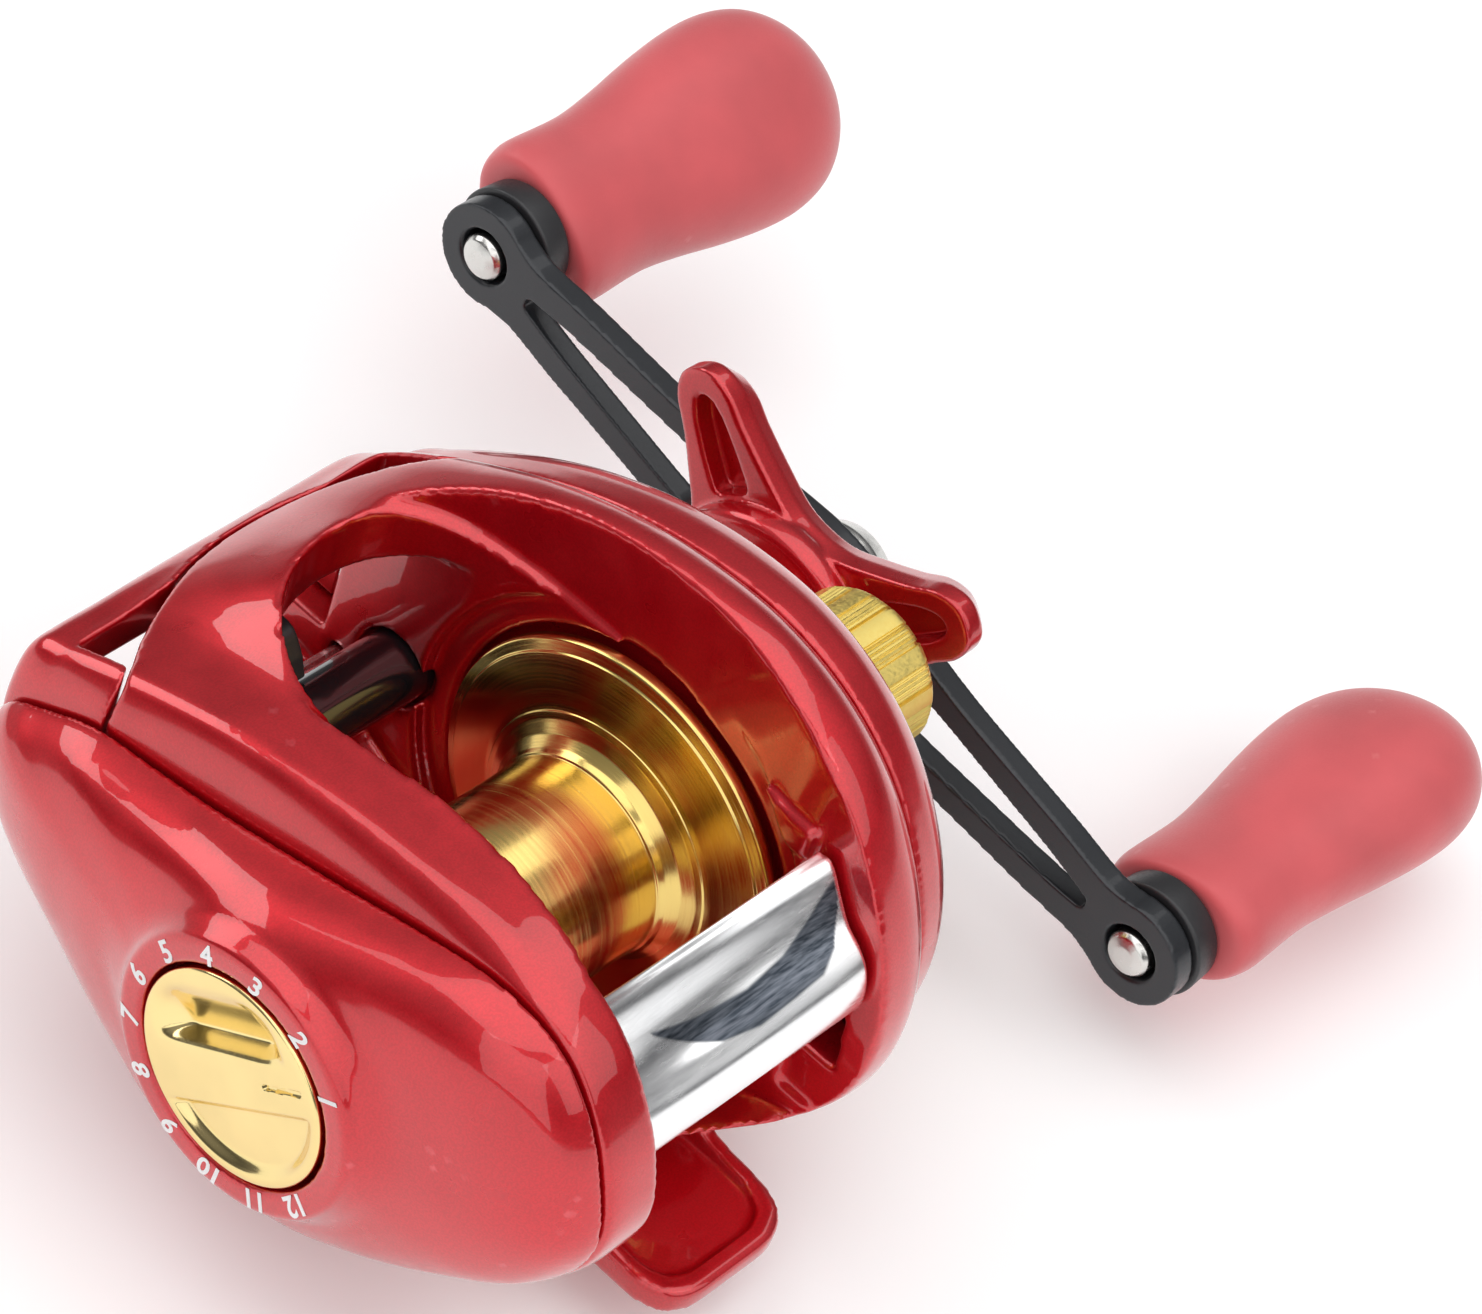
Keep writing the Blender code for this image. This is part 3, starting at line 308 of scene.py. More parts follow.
def spread(nodes, links, value, a, b, low, high):
    r = nodes.new("ShaderNodeMapRange")
    r.inputs["From Min"].default_value, r.inputs["From Max"].default_value = a, b
    r.inputs["To Min"].default_value, r.inputs["To Max"].default_value = low, high
    links.new(value, r.inputs["Value"])
    return r.outputs["Result"]


def two_tone(nodes, links, value, first, second):
    m = nodes.new("ShaderNodeMix")
    m.data_type = "RGBA"
    m.inputs[6].default_value = (*first, 1)
    m.inputs[7].default_value = (*second, 1)
    links.new(value, m.inputs[0])
    return m.outputs[2]


def blend_colour(nodes, links, value, first, second):
    m = nodes.new("ShaderNodeMix")
    m.data_type = "RGBA"
    links.new(first, m.inputs[6])
    if isinstance(second, tuple):
        m.inputs[7].default_value = (*second, 1)
    else:
        links.new(second, m.inputs[7])
    links.new(value, m.inputs[0])
    return m.outputs[2]


def bump(nodes, links, shader, height, strength, distance):
    b = nodes.new("ShaderNodeBump")
    b.inputs["Strength"].default_value = strength
    b.inputs["Distance"].default_value = distance
    links.new(height, b.inputs["Height"])
    links.new(b.outputs["Normal"], shader.inputs["Normal"])
    return b


def maths(nodes, links, kind, a, b=None, c=None):
    n = nodes.new("ShaderNodeMath")
    n.operation = kind
    for slot, v in zip(n.inputs, (a, b, c)):
        if v is None:
            continue
        if isinstance(v, (int, float)):
            slot.default_value = v
        else:
            links.new(v, slot)
    return n.outputs[0]


def worn_edges(nodes, links, colour, worn, low=0.56, high=0.66, amount=0.35, where=None):
    """Lighter along edges, broken up by noise."""
    geo = nodes.new("ShaderNodeNewGeometry").outputs["Pointiness"]
    edge = spread(nodes, links, geo, low, high, 0.0, amount)
    broken = maths(nodes, links, "MULTIPLY", edge, spread(nodes, links, noise(nodes, links, where, 900, 3), 0.35, 0.65, 0.2, 1.0))
    return blend_colour(nodes, links, broken, colour, worn)


def round_about(nodes, links, where, cy, cz, along, across):
    """Coordinates that run along the axis and out from it, for turned surfaces."""
    s = nodes.new("ShaderNodeSeparateXYZ")
    links.new(where, s.inputs[0])
    y = maths(nodes, links, "SUBTRACT", s.outputs[1], cy * MM)
    z = maths(nodes, links, "SUBTRACT", s.outputs[2], (cz + OZ) * MM)
    r = maths(nodes, links, "SQRT", maths(nodes, links, "ADD", maths(nodes, links, "MULTIPLY", y, y), maths(nodes, links, "MULTIPLY", z, z)))
    c = nodes.new("ShaderNodeCombineXYZ")
    links.new(maths(nodes, links, "MULTIPLY", s.outputs[0], along), c.inputs[0])
    links.new(maths(nodes, links, "MULTIPLY", r, across), c.inputs[1])
    return c.outputs[0]


def candy(name="candy_paint", deep=(0.42, 0.001, 0.006), bright=(0.66, 0.004, 0.014)):
    m, nodes, links, shader, where = material(name, bright, 0.34, 0.58, 1.0, 0.025, 1.56)
    flake = noise(nodes, links, where, 5200, 1.0)
    broad = noise(nodes, links, where, 55, 2.0)
    tone = maths(nodes, links, "ADD", spread(nodes, links, flake, 0.36, 0.64, 0.2, 0.6), spread(nodes, links, broad, 0.35, 0.65, 0.0, 0.3))
    colour = two_tone(nodes, links, tone, deep, bright)
    links.new(worn_edges(nodes, links, colour, (0.75, 0.10, 0.12), 0.53, 0.62, 0.5, where), shader.inputs["Base Color"])
    links.new(spread(nodes, links, noise(nodes, links, where, 240, 3.0), 0.3, 0.7, 0.26, 0.4), shader.inputs["Roughness"])
    bump(nodes, links, shader, flake, 0.12, 0.00003)
    return m


def gold(name, rough, cy, cz, grain=1.0, colour=(0.90, 0.62, 0.20)):
    m, nodes, links, shader, where = material(name, colour, rough, 1.0)
    lines = noise(nodes, links, round_about(nodes, links, where, cy, cz, 6000, 6000), 1.0, 2.0)
    patch = noise(nodes, links, where, 120, 3.0)
    links.new(two_tone(nodes, links, spread(nodes, links, patch, 0.3, 0.7, 0.0, 1.0), tuple(c * 0.88 for c in colour), colour), shader.inputs["Base Color"])
    both = maths(nodes, links, "ADD", spread(nodes, links, lines, 0.3, 0.7, rough * 0.7, rough * 1.35), spread(nodes, links, patch, 0.3, 0.7, -0.02, 0.03))
    links.new(both, shader.inputs["Roughness"])
    bump(nodes, links, shader, lines, 0.10 * grain, 0.00001)
    return m


def metal(name, colour, rough, grain_scale=2500, worn=None, strength=0.08):
    m, nodes, links, shader, where = material(name, colour, rough, 1.0)
    n = noise(nodes, links, where, grain_scale, 3.0)
    big = noise(nodes, links, where, 160, 3.0)
    links.new(two_tone(nodes, links, spread(nodes, links, big, 0.3, 0.7, 0, 1), tuple(c * 0.86 for c in colour), colour), shader.inputs["Base Color"])
    links.new(spread(nodes, links, n, 0.3, 0.7, rough * 0.75, rough * 1.3), shader.inputs["Roughness"])
    bump(nodes, links, shader, n, strength, 0.00001)
    return m


def plastic(name, colour, rough, grain=3000, strength=0.12, coat=0.0, sheen=0.0, worn=None, metallic=0.0, spec=0.5):
    m, nodes, links, shader, where = material(name, colour, rough, metallic, coat, 0.06, 1.5, spec, sheen)
    n = noise(nodes, links, where, grain, 2.0)
    big = noise(nodes, links, where, 90, 3.0)
    base = two_tone(nodes, links, spread(nodes, links, big, 0.3, 0.7, 0, 1), tuple(c * 0.85 for c in colour), tuple(min(1, c * 1.08) for c in colour))
    if worn:
        base = worn_edges(nodes, links, base, worn, 0.54, 0.64, 0.5, where)
    links.new(base, shader.inputs["Base Color"])
    links.new(spread(nodes, links, n, 0.3, 0.7, rough * 0.85, min(1, rough * 1.15)), shader.inputs["Roughness"])
    bump(nodes, links, shader, n, strength, 0.00003)
    return m


def chrome_bar(name="chrome_thumb"):
    """Bright plating; the dish's colour is a painted dark reflection, streaked like brushing."""
    m, nodes, links, shader, where = material(name, (0.90, 0.91, 0.93), 0.05, 1.0)
    attr = nodes.new("ShaderNodeAttribute")
    attr.attribute_name = "dish"
    reflection_mask = attr.outputs["Fac"]
    s = nodes.new("ShaderNodeSeparateXYZ")
    links.new(where, s.inputs[0])
    c = nodes.new("ShaderNodeCombineXYZ")
    for k, q in enumerate((350, 3800, 3800)):
        links.new(maths(nodes, links, "MULTIPLY", s.outputs[k], q), c.inputs[k])
    streak = noise(nodes, links, c.outputs[0], 1.0, 3.0)
    # painted reflection: the dark base colour in the dish stands in for the dark surroundings the chrome mirrors
    dark = two_tone(nodes, links, spread(nodes, links, streak, 0.32, 0.68, 0, 1), (0.045, 0.055, 0.07), (0.19, 0.21, 0.245))
    plain_part = two_tone(nodes, links, spread(nodes, links, noise(nodes, links, where, 150, 2), 0.3, 0.7, 0, 1), (0.95, 0.955, 0.965), (1.0, 1.0, 1.0))
    links.new(blend_colour(nodes, links, reflection_mask, plain_part, dark), shader.inputs["Base Color"])
    links.new(maths(nodes, links, "ADD", maths(nodes, links, "MULTIPLY", reflection_mask, 0.10), spread(nodes, links, streak, 0.3, 0.7, 0.20, 0.28)), shader.inputs["Roughness"])
    bump(nodes, links, shader, streak, 0.05, 0.00001)
    return m


CANDY = candy()
GOLD_SPOOL = gold("gold_spool", 0.19, 0.0, 0.0, 1.4, (0.84, 0.61, 0.20))
GOLD_DIAL = gold("gold_dial", 0.13, 0.0, 0.0, 0.5, (0.93, 0.74, 0.34))
GOLD_KNOB = metal("gold_tension", (1.0, 0.79, 0.24), 0.46, 3200, strength=0.03)
CHROME = chrome_bar()
STEEL = metal("steel", (0.60, 0.60, 0.60), 0.24)
SILVER = metal("silver_pin", (0.72, 0.71, 0.68), 0.22, 1800, strength=0.2)
BRASS = metal("brass", (0.72, 0.52, 0.24), 0.28)
MAGNET = metal("magnet", (0.45, 0.46, 0.48), 0.25)
TUBE = plastic("tube_black", (0.010, 0.010, 0.012), 0.16, 1600, 0.03, 1.0)
SATIN = plastic("arm_black", (0.022, 0.024, 0.028), 0.36, 4200, 0.22, 0.25, 0.0, (0.10, 0.11, 0.12), 0.35)
BLACK = plastic("moulded_black", (0.022, 0.022, 0.024), 0.42, 3600, 0.2, 0.0, 0.0, (0.09, 0.09, 0.09))
GREY = plastic("moulded_grey", (0.10, 0.10, 0.11), 0.5, 3200, 0.2)
CARBON = plastic("carbon_washer", (0.05, 0.05, 0.055), 0.6, 1500, 0.4)
CORAL = plastic("soft_touch_coral", (0.62, 0.085, 0.095), 0.48, 5200, 0.28, 0.0, 0.35, (0.70, 0.20, 0.20), 0.0, 0.45)
WHITE_INK = plastic("dial_print", (0.85, 0.84, 0.84), 0.5, 3000, 0.05)

for node, m in {
    "spool_shaft": STEEL, "spool_drive_pin": STEEL, "spool_bearing_left": STEEL, "spool_bearing_right": STEEL,
    "one_way_bearing": STEEL, "yoke_spring_upper": STEEL, "yoke_spring_lower": STEEL, "drive_shaft": STEEL,
    "main_gear": BRASS, "idle_drive_gear": GREY, "drag_washer_carbon": CARBON, "drag_pressure_washer": STEEL,
    "spring_washer_1": STEEL, "spring_washer_2": STEEL, "star_nut": BRASS, "clutch_yoke": GREY, "pinion_gear": BRASS,
    "clutch_cam": GREY, "clutch_lever": STEEL, "clutch_bar_tab": STEEL, "worm_shaft": STEEL, "worm_gear": GREY,
    "line_guide_pawl": STEEL, "magnet_carrier": BLACK, "brake_magnet_1": MAGNET, "brake_magnet_2": MAGNET,
    "brake_magnet_3": MAGNET, "brake_magnet_4": MAGNET, "tension_shim": STEEL, "guide_rod": STEEL,
}.items():
    NODES[node].data.materials.clear()
    NODES[node].data.materials.append(m)


def piece(name, mesh, mat, body, stands_for, sharp=None):
    mesh.materials.clear()
    mesh.materials.append(mat)
    mesh.shade_smooth()
    if sharp:
        mesh.set_sharp_from_angle(angle=math.radians(sharp))
    obj = bpy.data.objects.new(name, mesh)
    bpy.context.scene.collection.objects.link(obj)
    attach(obj, body)
    if stands_for:
        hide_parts(*stands_for)
    return obj

# ------------------------------------------------------------------ the reel's sizes, as in the CAD
SHAFT = (12.0, -7.7)
WORM = (23.41, -1.88)
FOOT_X, FOOT_Z, FOOT_HALF_W, FOOT_REAR, FOOT_FRONT = 3.8, -21.0, 7.7, -28.2, 29.0
LEFT_PART, RIGHT_PART, GAP, WALL_IN = -19.5, 19.0, 0.3, 11.8
DIAL_R, DIAL_FACE = 9.15, -28.8
ARM_IN, ARM_T, ARM_HALF, ARM_ANGLE = 51.4, 2.3, 40.7, math.radians(9.9)
LEFT_EDGE = [(35.2, 3.6), (30.8, 6.6), (26.1, 8.9), (20.5, 10.0), (14.5, 11.2), (8.0, 12.9), (0.5, 15.0), (-7.0, 17.2),
             (-14.0, 18.7), (-20.2, 17.9), (-24.4, 14.4), (-27.3, 9.0), (-28.7, 2.8), (-26.0, -3.4), (-20.2, -8.5),
             (-13.0, -13.3), (-4.0, -17.5), (8.0, -18.5), (17.6, -14.4), (25.6, -9.6), (32.0, -5.4), (35.2, -1.2)]
LEFT_CREST = [(36.1, 8.0), (32.8, 10.2), (28.0, 12.4), (22.0, 14.6), (15.5, 16.6), (8.0, 18.2), (0.0, 19.3),
              (-8.0, 20.1), (-15.5, 19.9), (-21.2, 17.7), (-25.2, 13.6), (-28.0, 8.5), (-29.0, 2.6), (-26.4, -4.0),
              (-20.6, -9.9), (-13.2, -15.1), (-4.0, -19.2), (8.0, -20.1), (18.2, -16.0), (26.6, -10.9),
              (33.2, -6.2), (36.3, 0.4)]
MIDDLE = [(36.2, 8.2), (33.2, 11.4), (29.4, 14.2), (24.5, 17.2), (18.0, 19.6), (10.0, 21.4), (2.0, 22.4),
          (-6.0, 22.4), (-13.0, 20.6), (-19.5, 17.4), (-24.0, 13.2), (-27.0, 8.0), (-28.0, 2.0), (-25.0, -4.0),
          (-19.4, -11.0), (-12.4, -16.8), (-4.0, -20.4), (8.0, -20.6), (18.0, -16.8), (27.0, -11.2), (33.8, -6.4),
          (36.6, 0.8)]
RIGHT_CREST = [(36.2, 8.4), (33.4, 11.8), (29.4, 15.2), (23.8, 18.8), (17.6, 22.2), (10.6, 24.9), (3.0, 26.4),
               (-5.0, 26.8), (-12.2, 25.0), (-18.2, 21.6), (-23.0, 16.0), (-26.8, 8.6), (-28.2, 1.0), (-26.9, -6.3),
               (-22.2, -13.4), (-15.0, -19.7), (-4.0, -23.3), (9.0, -24.4), (20.6, -22.6), (29.8, -16.0),
               (35.4, -8.2), (37.0, 0.6)]
RIGHT_EDGE = [(34.8, 7.4), (31.8, 10.4), (27.8, 13.6), (22.6, 17.2), (16.8, 20.4), (10.2, 23.0), (3.0, 24.6),
              (-4.6, 24.9), (-11.6, 23.2), (-17.6, 19.4), (-22.2, 13.8), (-25.2, 7.2), (-26.0, 0.6), (-24.8, -5.8),
              (-20.8, -12.6), (-14.2, -18.8), (-4.0, -22.4), (9.0, -23.5), (20.2, -21.4), (29.0, -15.0),
              (34.2, -7.6), (35.6, 0.4)]
STATIONS = [(LEFT_PART, LEFT_EDGE), (-18.9, mix(LEFT_EDGE, LEFT_CREST, 0.5)), (-17.6, mix(LEFT_EDGE, LEFT_CREST, 0.92)),
            (-15.2, LEFT_CREST), (-11.0, mix(LEFT_CREST, MIDDLE, 0.12)), (-5.0, mix(LEFT_CREST, MIDDLE, 0.75)),
            (0.0, MIDDLE), (6.0, mix(MIDDLE, RIGHT_CREST, 0.35)), (11.0, mix(MIDDLE, RIGHT_CREST, 0.85)),
            (15.0, RIGHT_CREST), (17.2, mix(RIGHT_CREST, RIGHT_EDGE, 0.28)), (RIGHT_PART, RIGHT_EDGE)]


def hull():
    rows = [(x, tuple(spline_loop(profile, 8))) for x, profile in STATIONS]
    return loft("hull", [[(x, y, z) for y, z in ring] for x, ring in spline_rows(rows, 4)])


# ------------------------------------------------------------------ frame
OPENING = [(-14.4, -60), (-14.3, -22), (-13.2, -14), (-11.9, -7), (-11.3, 0), (-11.6, 8), (-11.5, 14), (-10.2, 18.4),
           (-7.6, 22.3), (-4.0, 25.4), (0.2, 27.2), (4.2, 27.7), (7.8, 26.8), (10.6, 24.2), (12.5, 20), (13.5, 14),
           (13.8, 8), (13.6, 1), (13.0, -6), (12.4, -13), (12.0, -20), (11.9, -60)]


def smooth_line(points, per=6):
    return [tuple(p) for p in spline_rows(points, per)]


def drawn_in(outline, amount):
    return smooth_line([(x * (1 - amount / 16.0), y - (amount * 1.15 if y > 12 else 0)) for x, y in outline])


BAY_LEFT = [(-60, 14), (-60, -9.0), (-28, -9.0), (-21.5, -11.2), (-14, -14.8), (-8, -17.2), (0, -18.2), (7, -17.8),
            (14, -14.9), (20, -11.4), (26, -8.6), (32, -7.2), (60, -6.0), (60, 4.5), (34, 5.5), (29, 7.5), (24, 9.6),
            (18, 11.6), (10, 13.0), (0, 14)]
BAY_RIGHT = [(y, z + (2.6 if z > 7 and 5 < y < 30 else 0)) for y, z in BAY_LEFT]
NOSE_LINE = [(-30, 25.4), (-19.6, 25.8), (-16.6, 27.0), (-13.0, 29.3), (-9.0, 31.2), (-5.0, 32.7), (-1.0, 33.6),
             (3.0, 33.9), (7.0, 33.4), (10.6, 31.8), (13.6, 29.4), (16.6, 26.6), (19.6, 25.2), (30, 25.0)]
nose_line = smooth_line(NOSE_LINE)

blade = rounded([(FOOT_X + s * FOOT_HALF_W * w, y) for s, span in ((1, 1), (-1, -1)) for w, y in (
    ((0.55, FOOT_REAR), (0.84, FOOT_REAR + 0.9), (1.0, FOOT_REAR + 3.4), (1.0, -6.0), (0.92, 8.0), (0.86, 24.0),
     (0.62, FOOT_FRONT - 1.2), (0.3, FOOT_FRONT))[::span])], 2.0, closed=True)
foot_top = rounded([(-60, FOOT_Z + 2.0), (-27.0, FOOT_Z + 2.3), (-19.0, FOOT_Z + 3.2), (-15.2, FOOT_Z + 4.6), (-14.0, 0), (16, 0),
                    (18.5, FOOT_Z + 4.6), (25, FOOT_Z + 2.6), (60, FOOT_Z + 2.0), (60, 20), (-60, 20)], 2.0, closed=True)
foot = csg("foot", prism_z(blade, FOOT_Z - 1.5, FOOT_Z + 6.0), [
    ("-", prism_x(foot_top, -30, 30)), ("-", prism_x(circle(17.9, 120), -30, 30))])
# shallow dish in the blade's top at the rear, leaving a rim round the tip
dish = [(FOOT_X + s * (FOOT_HALF_W - 1.5) * w, y) for s, span in ((1, 1), (-1, -1)) for w, y in (
    ((0.5, FOOT_REAR + 1.7), (0.85, FOOT_REAR + 2.5), (1.0, FOOT_REAR + 4.6), (1.0, -15.5), (0.8, -13.5), (0.3, -13.2))[::span])]
foot = csg("foot", foot, [("-", prism_z(rounded(dish, 1.5, closed=True), FOOT_Z + 1.75, FOOT_Z + 9))])
frame_mesh = csg("frame_body", hull(), [
    ("-", prism_z(drawn_in(OPENING, -1.8), 16.8, 45, drawn_in(OPENING, 0.0))),
    ("-", prism_z(drawn_in(OPENING, 1.0), 5.0, 17.2)),
    ("-", prism_x(rounded(BAY_LEFT, 2.0, True), -WALL_IN, WALL_IN, rounded(BAY_RIGHT, 2.0, True))),
    ("-", rod_x(17.5, -15.0, -11.0, count=120)), ("-", rod_x(17.5, 11.0, 14.6, count=120)), ("-", rod_x(20.4, 11.0, 13.1, count=160)),
    ("-", rod_x(13.2, -25.0, -14.0)), ("-", rod_x(4.6, 10.0, 25.0)), ("-", rod_x(8.4, 16.9, 25.0)),
    ("-", prism_z(nose_line + [(30, 60), (-30, 60)], -3.6, 45)),
    ("-", rod_x(2.4, 15.4, 25, SHAFT, 24)), ("-", rod_x(2.5, -16.5, 25, WORM, 24)), ("-", rod_x(3.5, -14.0, 14.0, WORM, 40)),
    ("-", rod_x(1.1, -14.5, 14.5, (28.8, -5.2), 16)),
    ("-", prism_x([(-60, -8.6), (-21.6, -8.6), (-18.6, 7.0), (-17.2, 14.0), (-17.4, 30), (-60, 30)], -14.3, 12.3)),
    ("-", prism_x([(-25.6, -3.4), (-21.4, -3.4), (-19.6, 9.0), (-23.8, 9.0)], 10.0, 17.2)),
    ("-", prism_x([(-23.6, -6.2), (-5.0, -6.2), (-5.0, 5.2), (-20.0, 9.4), (-24.6, 9.4), (-25.6, 0.0)], 16.9, 25.0)),
    ("+", foot), ("-", block((-6.6, -60, -60), (13.7, 60, FOOT_Z)))])
piece("frame_skin", soften("frame_skin", frame_mesh, 0.34, 6), CANDY, "housing", ["frame"])

# ------------------------------------------------------------------ nose cover
nose_mesh = csg("nose_body", hull(), [
    ("*", prism_z([(x, y + 0.3) for x, y in nose_line] + [(30, 60), (-30, 60)], -3.3, 45)),
    ("-", prism_z([(-16.4, 20), (-1.0, 20), (-1.0, 32.6), (-16.4, 32.4)], -10, 45)),
    ("-", prism_z([(0.5, 20), (16.0, 20), (16.0, 32.4), (0.5, 32.6)], -10, 45)),
    ("-", prism_x([(20, -10), (60, -10), (60, 5.4), (31, 6.4), (20, 6.4)], -14.6, 14.6))])
piece("nose_skin", soften("nose_skin", nose_mesh, 0.24, 5), CANDY, "housing", ["nose_cover"])


# ------------------------------------------------------------------ side plates
def dome_ring(x, share, base, centre, radius, count=176, inset=0.0):
    outline = spline_loop(base, 10)
    polar = sorted((math.atan2(z - centre[1], y - centre[0]), math.hypot(y - centre[0], z - centre[1])) for y, z in outline)
    table = [(polar[-1][0] - 2 * math.pi, polar[-1][1])] + polar + [(polar[0][0] + 2 * math.pi, polar[0][1])]
    ring, k = [], 0
    for i in range(count):
        angle = -math.pi + 2 * math.pi * (i + 0.5) / count
        while table[k + 1][0] < angle:
            k += 1
        (a0, r0), (a1, r1) = table[k], table[k + 1]
        far = r0 + (r1 - r0) * (angle - a0) / max(1e-9, a1 - a0)
        r = radius + (far - inset - radius) * share
        ring.append((x, centre[0] + r * math.cos(angle), centre[1] + r * math.sin(angle)))
    return ring


outer = spline_rows([(LEFT_PART - GAP, 0.998, 12), (-20.1, 0.995, 12), (-21.2, 0.97, 12), (-22.8, 0.90, 12), (-24.2, 0.775, 12),
                     (-25.3, 0.59, 12), (-26.1, 0.36, 12.2), (-26.8, 0.15, 12.2), (-27.8, 0.03, 12.1), (-28.5, 0.0, 11.95)], 4)
rows = [(x, s, r, 0.0) for x, s, r in outer]
rows += [(DIAL_FACE, 0.0, 11.6, 0.0), (DIAL_FACE, 0.0, 9.5, 0.0), (-25.9, 0.0, 9.5, 0.0), (-25.9, 0.0, 4.6, 0.0), (-21.0, 0.0, 4.6, 0.0),
         (-21.0, 0.0, 5.7, 0.0), (-23.6, 0.0, 6.4, 0.0), (-23.6, 0.0, 10.4, 0.0), (-24.6, 0.28, 10.8, 1.6), (-23.6, 0.62, 11.6, 1.6),
         (-22.0, 0.83, 11.6, 1.6), (-20.8, 0.92, 11.6, 1.6), (LEFT_PART - GAP, 0.96, 11.6, 1.4)]
left_mesh = loft("left_plate", [dome_ring(x, s, LEFT_EDGE, (0, 0), r, inset=i) for x, s, r, i in rows], cyclic=True)
piece("left_plate_skin", soften("left_plate_skin", left_mesh, 0.27, 4), CANDY, "housing", ["left_side_plate"])

DOME = (9.0, -5.0)
right_rows = spline_rows([(RIGHT_PART + GAP, 0.99), (20.8, 0.982), (22.6, 0.962), (24.8, 0.89), (26.6, 0.77), (28.2, 0.62), (29.3, 0.46)], 5)
right_mesh = csg("right_plate", loft("right_plate", [dome_ring(x, s, RIGHT_EDGE, DOME, 12) for x, s in right_rows]), [
    ("-", loft("room", [dome_ring(x, s, RIGHT_EDGE, DOME, 12, inset=1.3) for x, s in (
        (RIGHT_PART - 1.0, 0.99), (22.8, 0.96), (25.0, 0.875), (26.4, 0.75), (27.7, 0.5))])),
    ("+", loft("boss", [[(x, y, z) for y, z in circle(r, 96, SHAFT)] for x, r in (
        (28.6, 10.2), (29.4, 9.2), (30.6, 8.0), (31.6, 7.3), (32.8, 6.9), (44.5, 6.8))])),
    ("+", loft("cap_boss", [[(x, y, z) for y, z in circle(r, 72)] for x, r in (
        (28.6, 9.2), (29.2, 8.2), (30.4, 7.2), (33.3, 7.0), (33.3, 5.2), (38.6, 5.2))])),
    ("-", rod_x(6.3, 20, 50, SHAFT)), ("-", rod_x(3.9, 20, 50, (0, 0)))])
piece("right_plate_skin", soften("right_plate_skin", right_mesh, 0.32, 5), CANDY, "housing", ["right_side_plate"])

# ------------------------------------------------------------------ spool
R, H, F, HUB = 17.0, 12.0, 1.4, 8.6
half = [(H - 4.2, HUB), (H - 3.55, HUB - 0.02), (H - 3.45, HUB + 0.16), (H - 2.9, HUB + 0.42), (H - 2.1, HUB + 1.15), (H - 1.55, HUB + 2.2),
        (H - 1.4, HUB + 2.75), (H - 1.28, HUB + 2.8), (H - 1.15, HUB + 3.3), (H - 0.42, R - 1.1), (H - 0.30, R - 1.02), (H - 0.22, R - 0.95),
        (H + 0.02, R - 0.12), (H + 0.25, R), (H + F - 0.3, R), (H + F, R - 0.4), (H + F, 1.3)]
profile = [(-x, r) for x, r in half[::-1]] + half
piece("spool_skin", spun("spool_skin", profile, (0, 0), 200, 0.12), GOLD_SPOOL, "spool_group", ["spool"], 35)

# ------------------------------------------------------------------ brake dial and its printed numbers
RIDGE = math.radians(143.4)          # the finger ridge's direction in (y, z)
SIDE = -1.0


def dial_depth(y, z):
    u = y * math.cos(RIDGE) + z * math.sin(RIDGE)
    v = -y * math.sin(RIDGE) + z * math.cos(RIDGE)
    rho = math.hypot(y, z)
    across = 2.15 - 0.25 * (u / 6.0)
    t = abs(v) - across
    depth = 0.0
    if t > 0:
        if v * SIDE > 0:
            depth = 1.75 * smoothstep(t / 1.0) * (1 - smoothstep((t - 0.9) / 5.0)) * smoothstep((7.3 - abs(u)) / 3.4) * smoothstep((9.0 - rho) / 1.6)
        else:
            depth = 0.75 * smoothstep(t / 0.9) * smoothstep((8.5 - rho) / 1.2)
    line = smoothstep((0.30 - abs(v)) / 0.16) * smoothstep((u - 3.7) / 0.2) * smoothstep((8.0 - u) / 0.2)
    return depth + 0.3 * line


STEPS = 420
face_x = DIAL_FACE - 0.15
dial_points, dial_rows = [(face_x + dial_depth(0, 0), 0.0, 0.0)], [[0]]
rim = [(r, None) for r in [0.1 * (k + 1) for k in range(87)]]
rim += [(DIAL_R - 0.35, face_x), (DIAL_R - 0.18, face_x + 0.05), (DIAL_R - 0.05, face_x + 0.16), (DIAL_R, face_x + 0.35), (DIAL_R - 0.1, -26.3), (DIAL_R - 0.2, -26.2),
        (4.1, -26.2), (4.0, -26.1), (4.0, -24.2)]
for r, x in rim:
    dial_rows.append(list(range(len(dial_points), len(dial_points) + STEPS)))
    for i in range(STEPS):
        a = 2 * math.pi * i / STEPS
        y, z = r * math.cos(a), r * math.sin(a)
        dial_points.append((face_x + dial_depth(y, z) if x is None else x, y, z))
dial_rows.append([len(dial_points)])
dial_points.append((-24.2, 0.0, 0.0))
dial_faces = []
for a, b in zip(dial_rows, dial_rows[1:]):
    for i in range(STEPS):
        j = (i + 1) % STEPS
        dial_faces.append((a[0], b[i], b[j]) if len(a) == 1 else ((a[i], a[j], b[0]) if len(b) == 1 else (a[i], a[j], b[j], b[i])))
piece("dial_skin", make_mesh("dial_skin", dial_points, dial_faces, False), GOLD_DIAL, "dial_group", ["brake_dial"], 50)

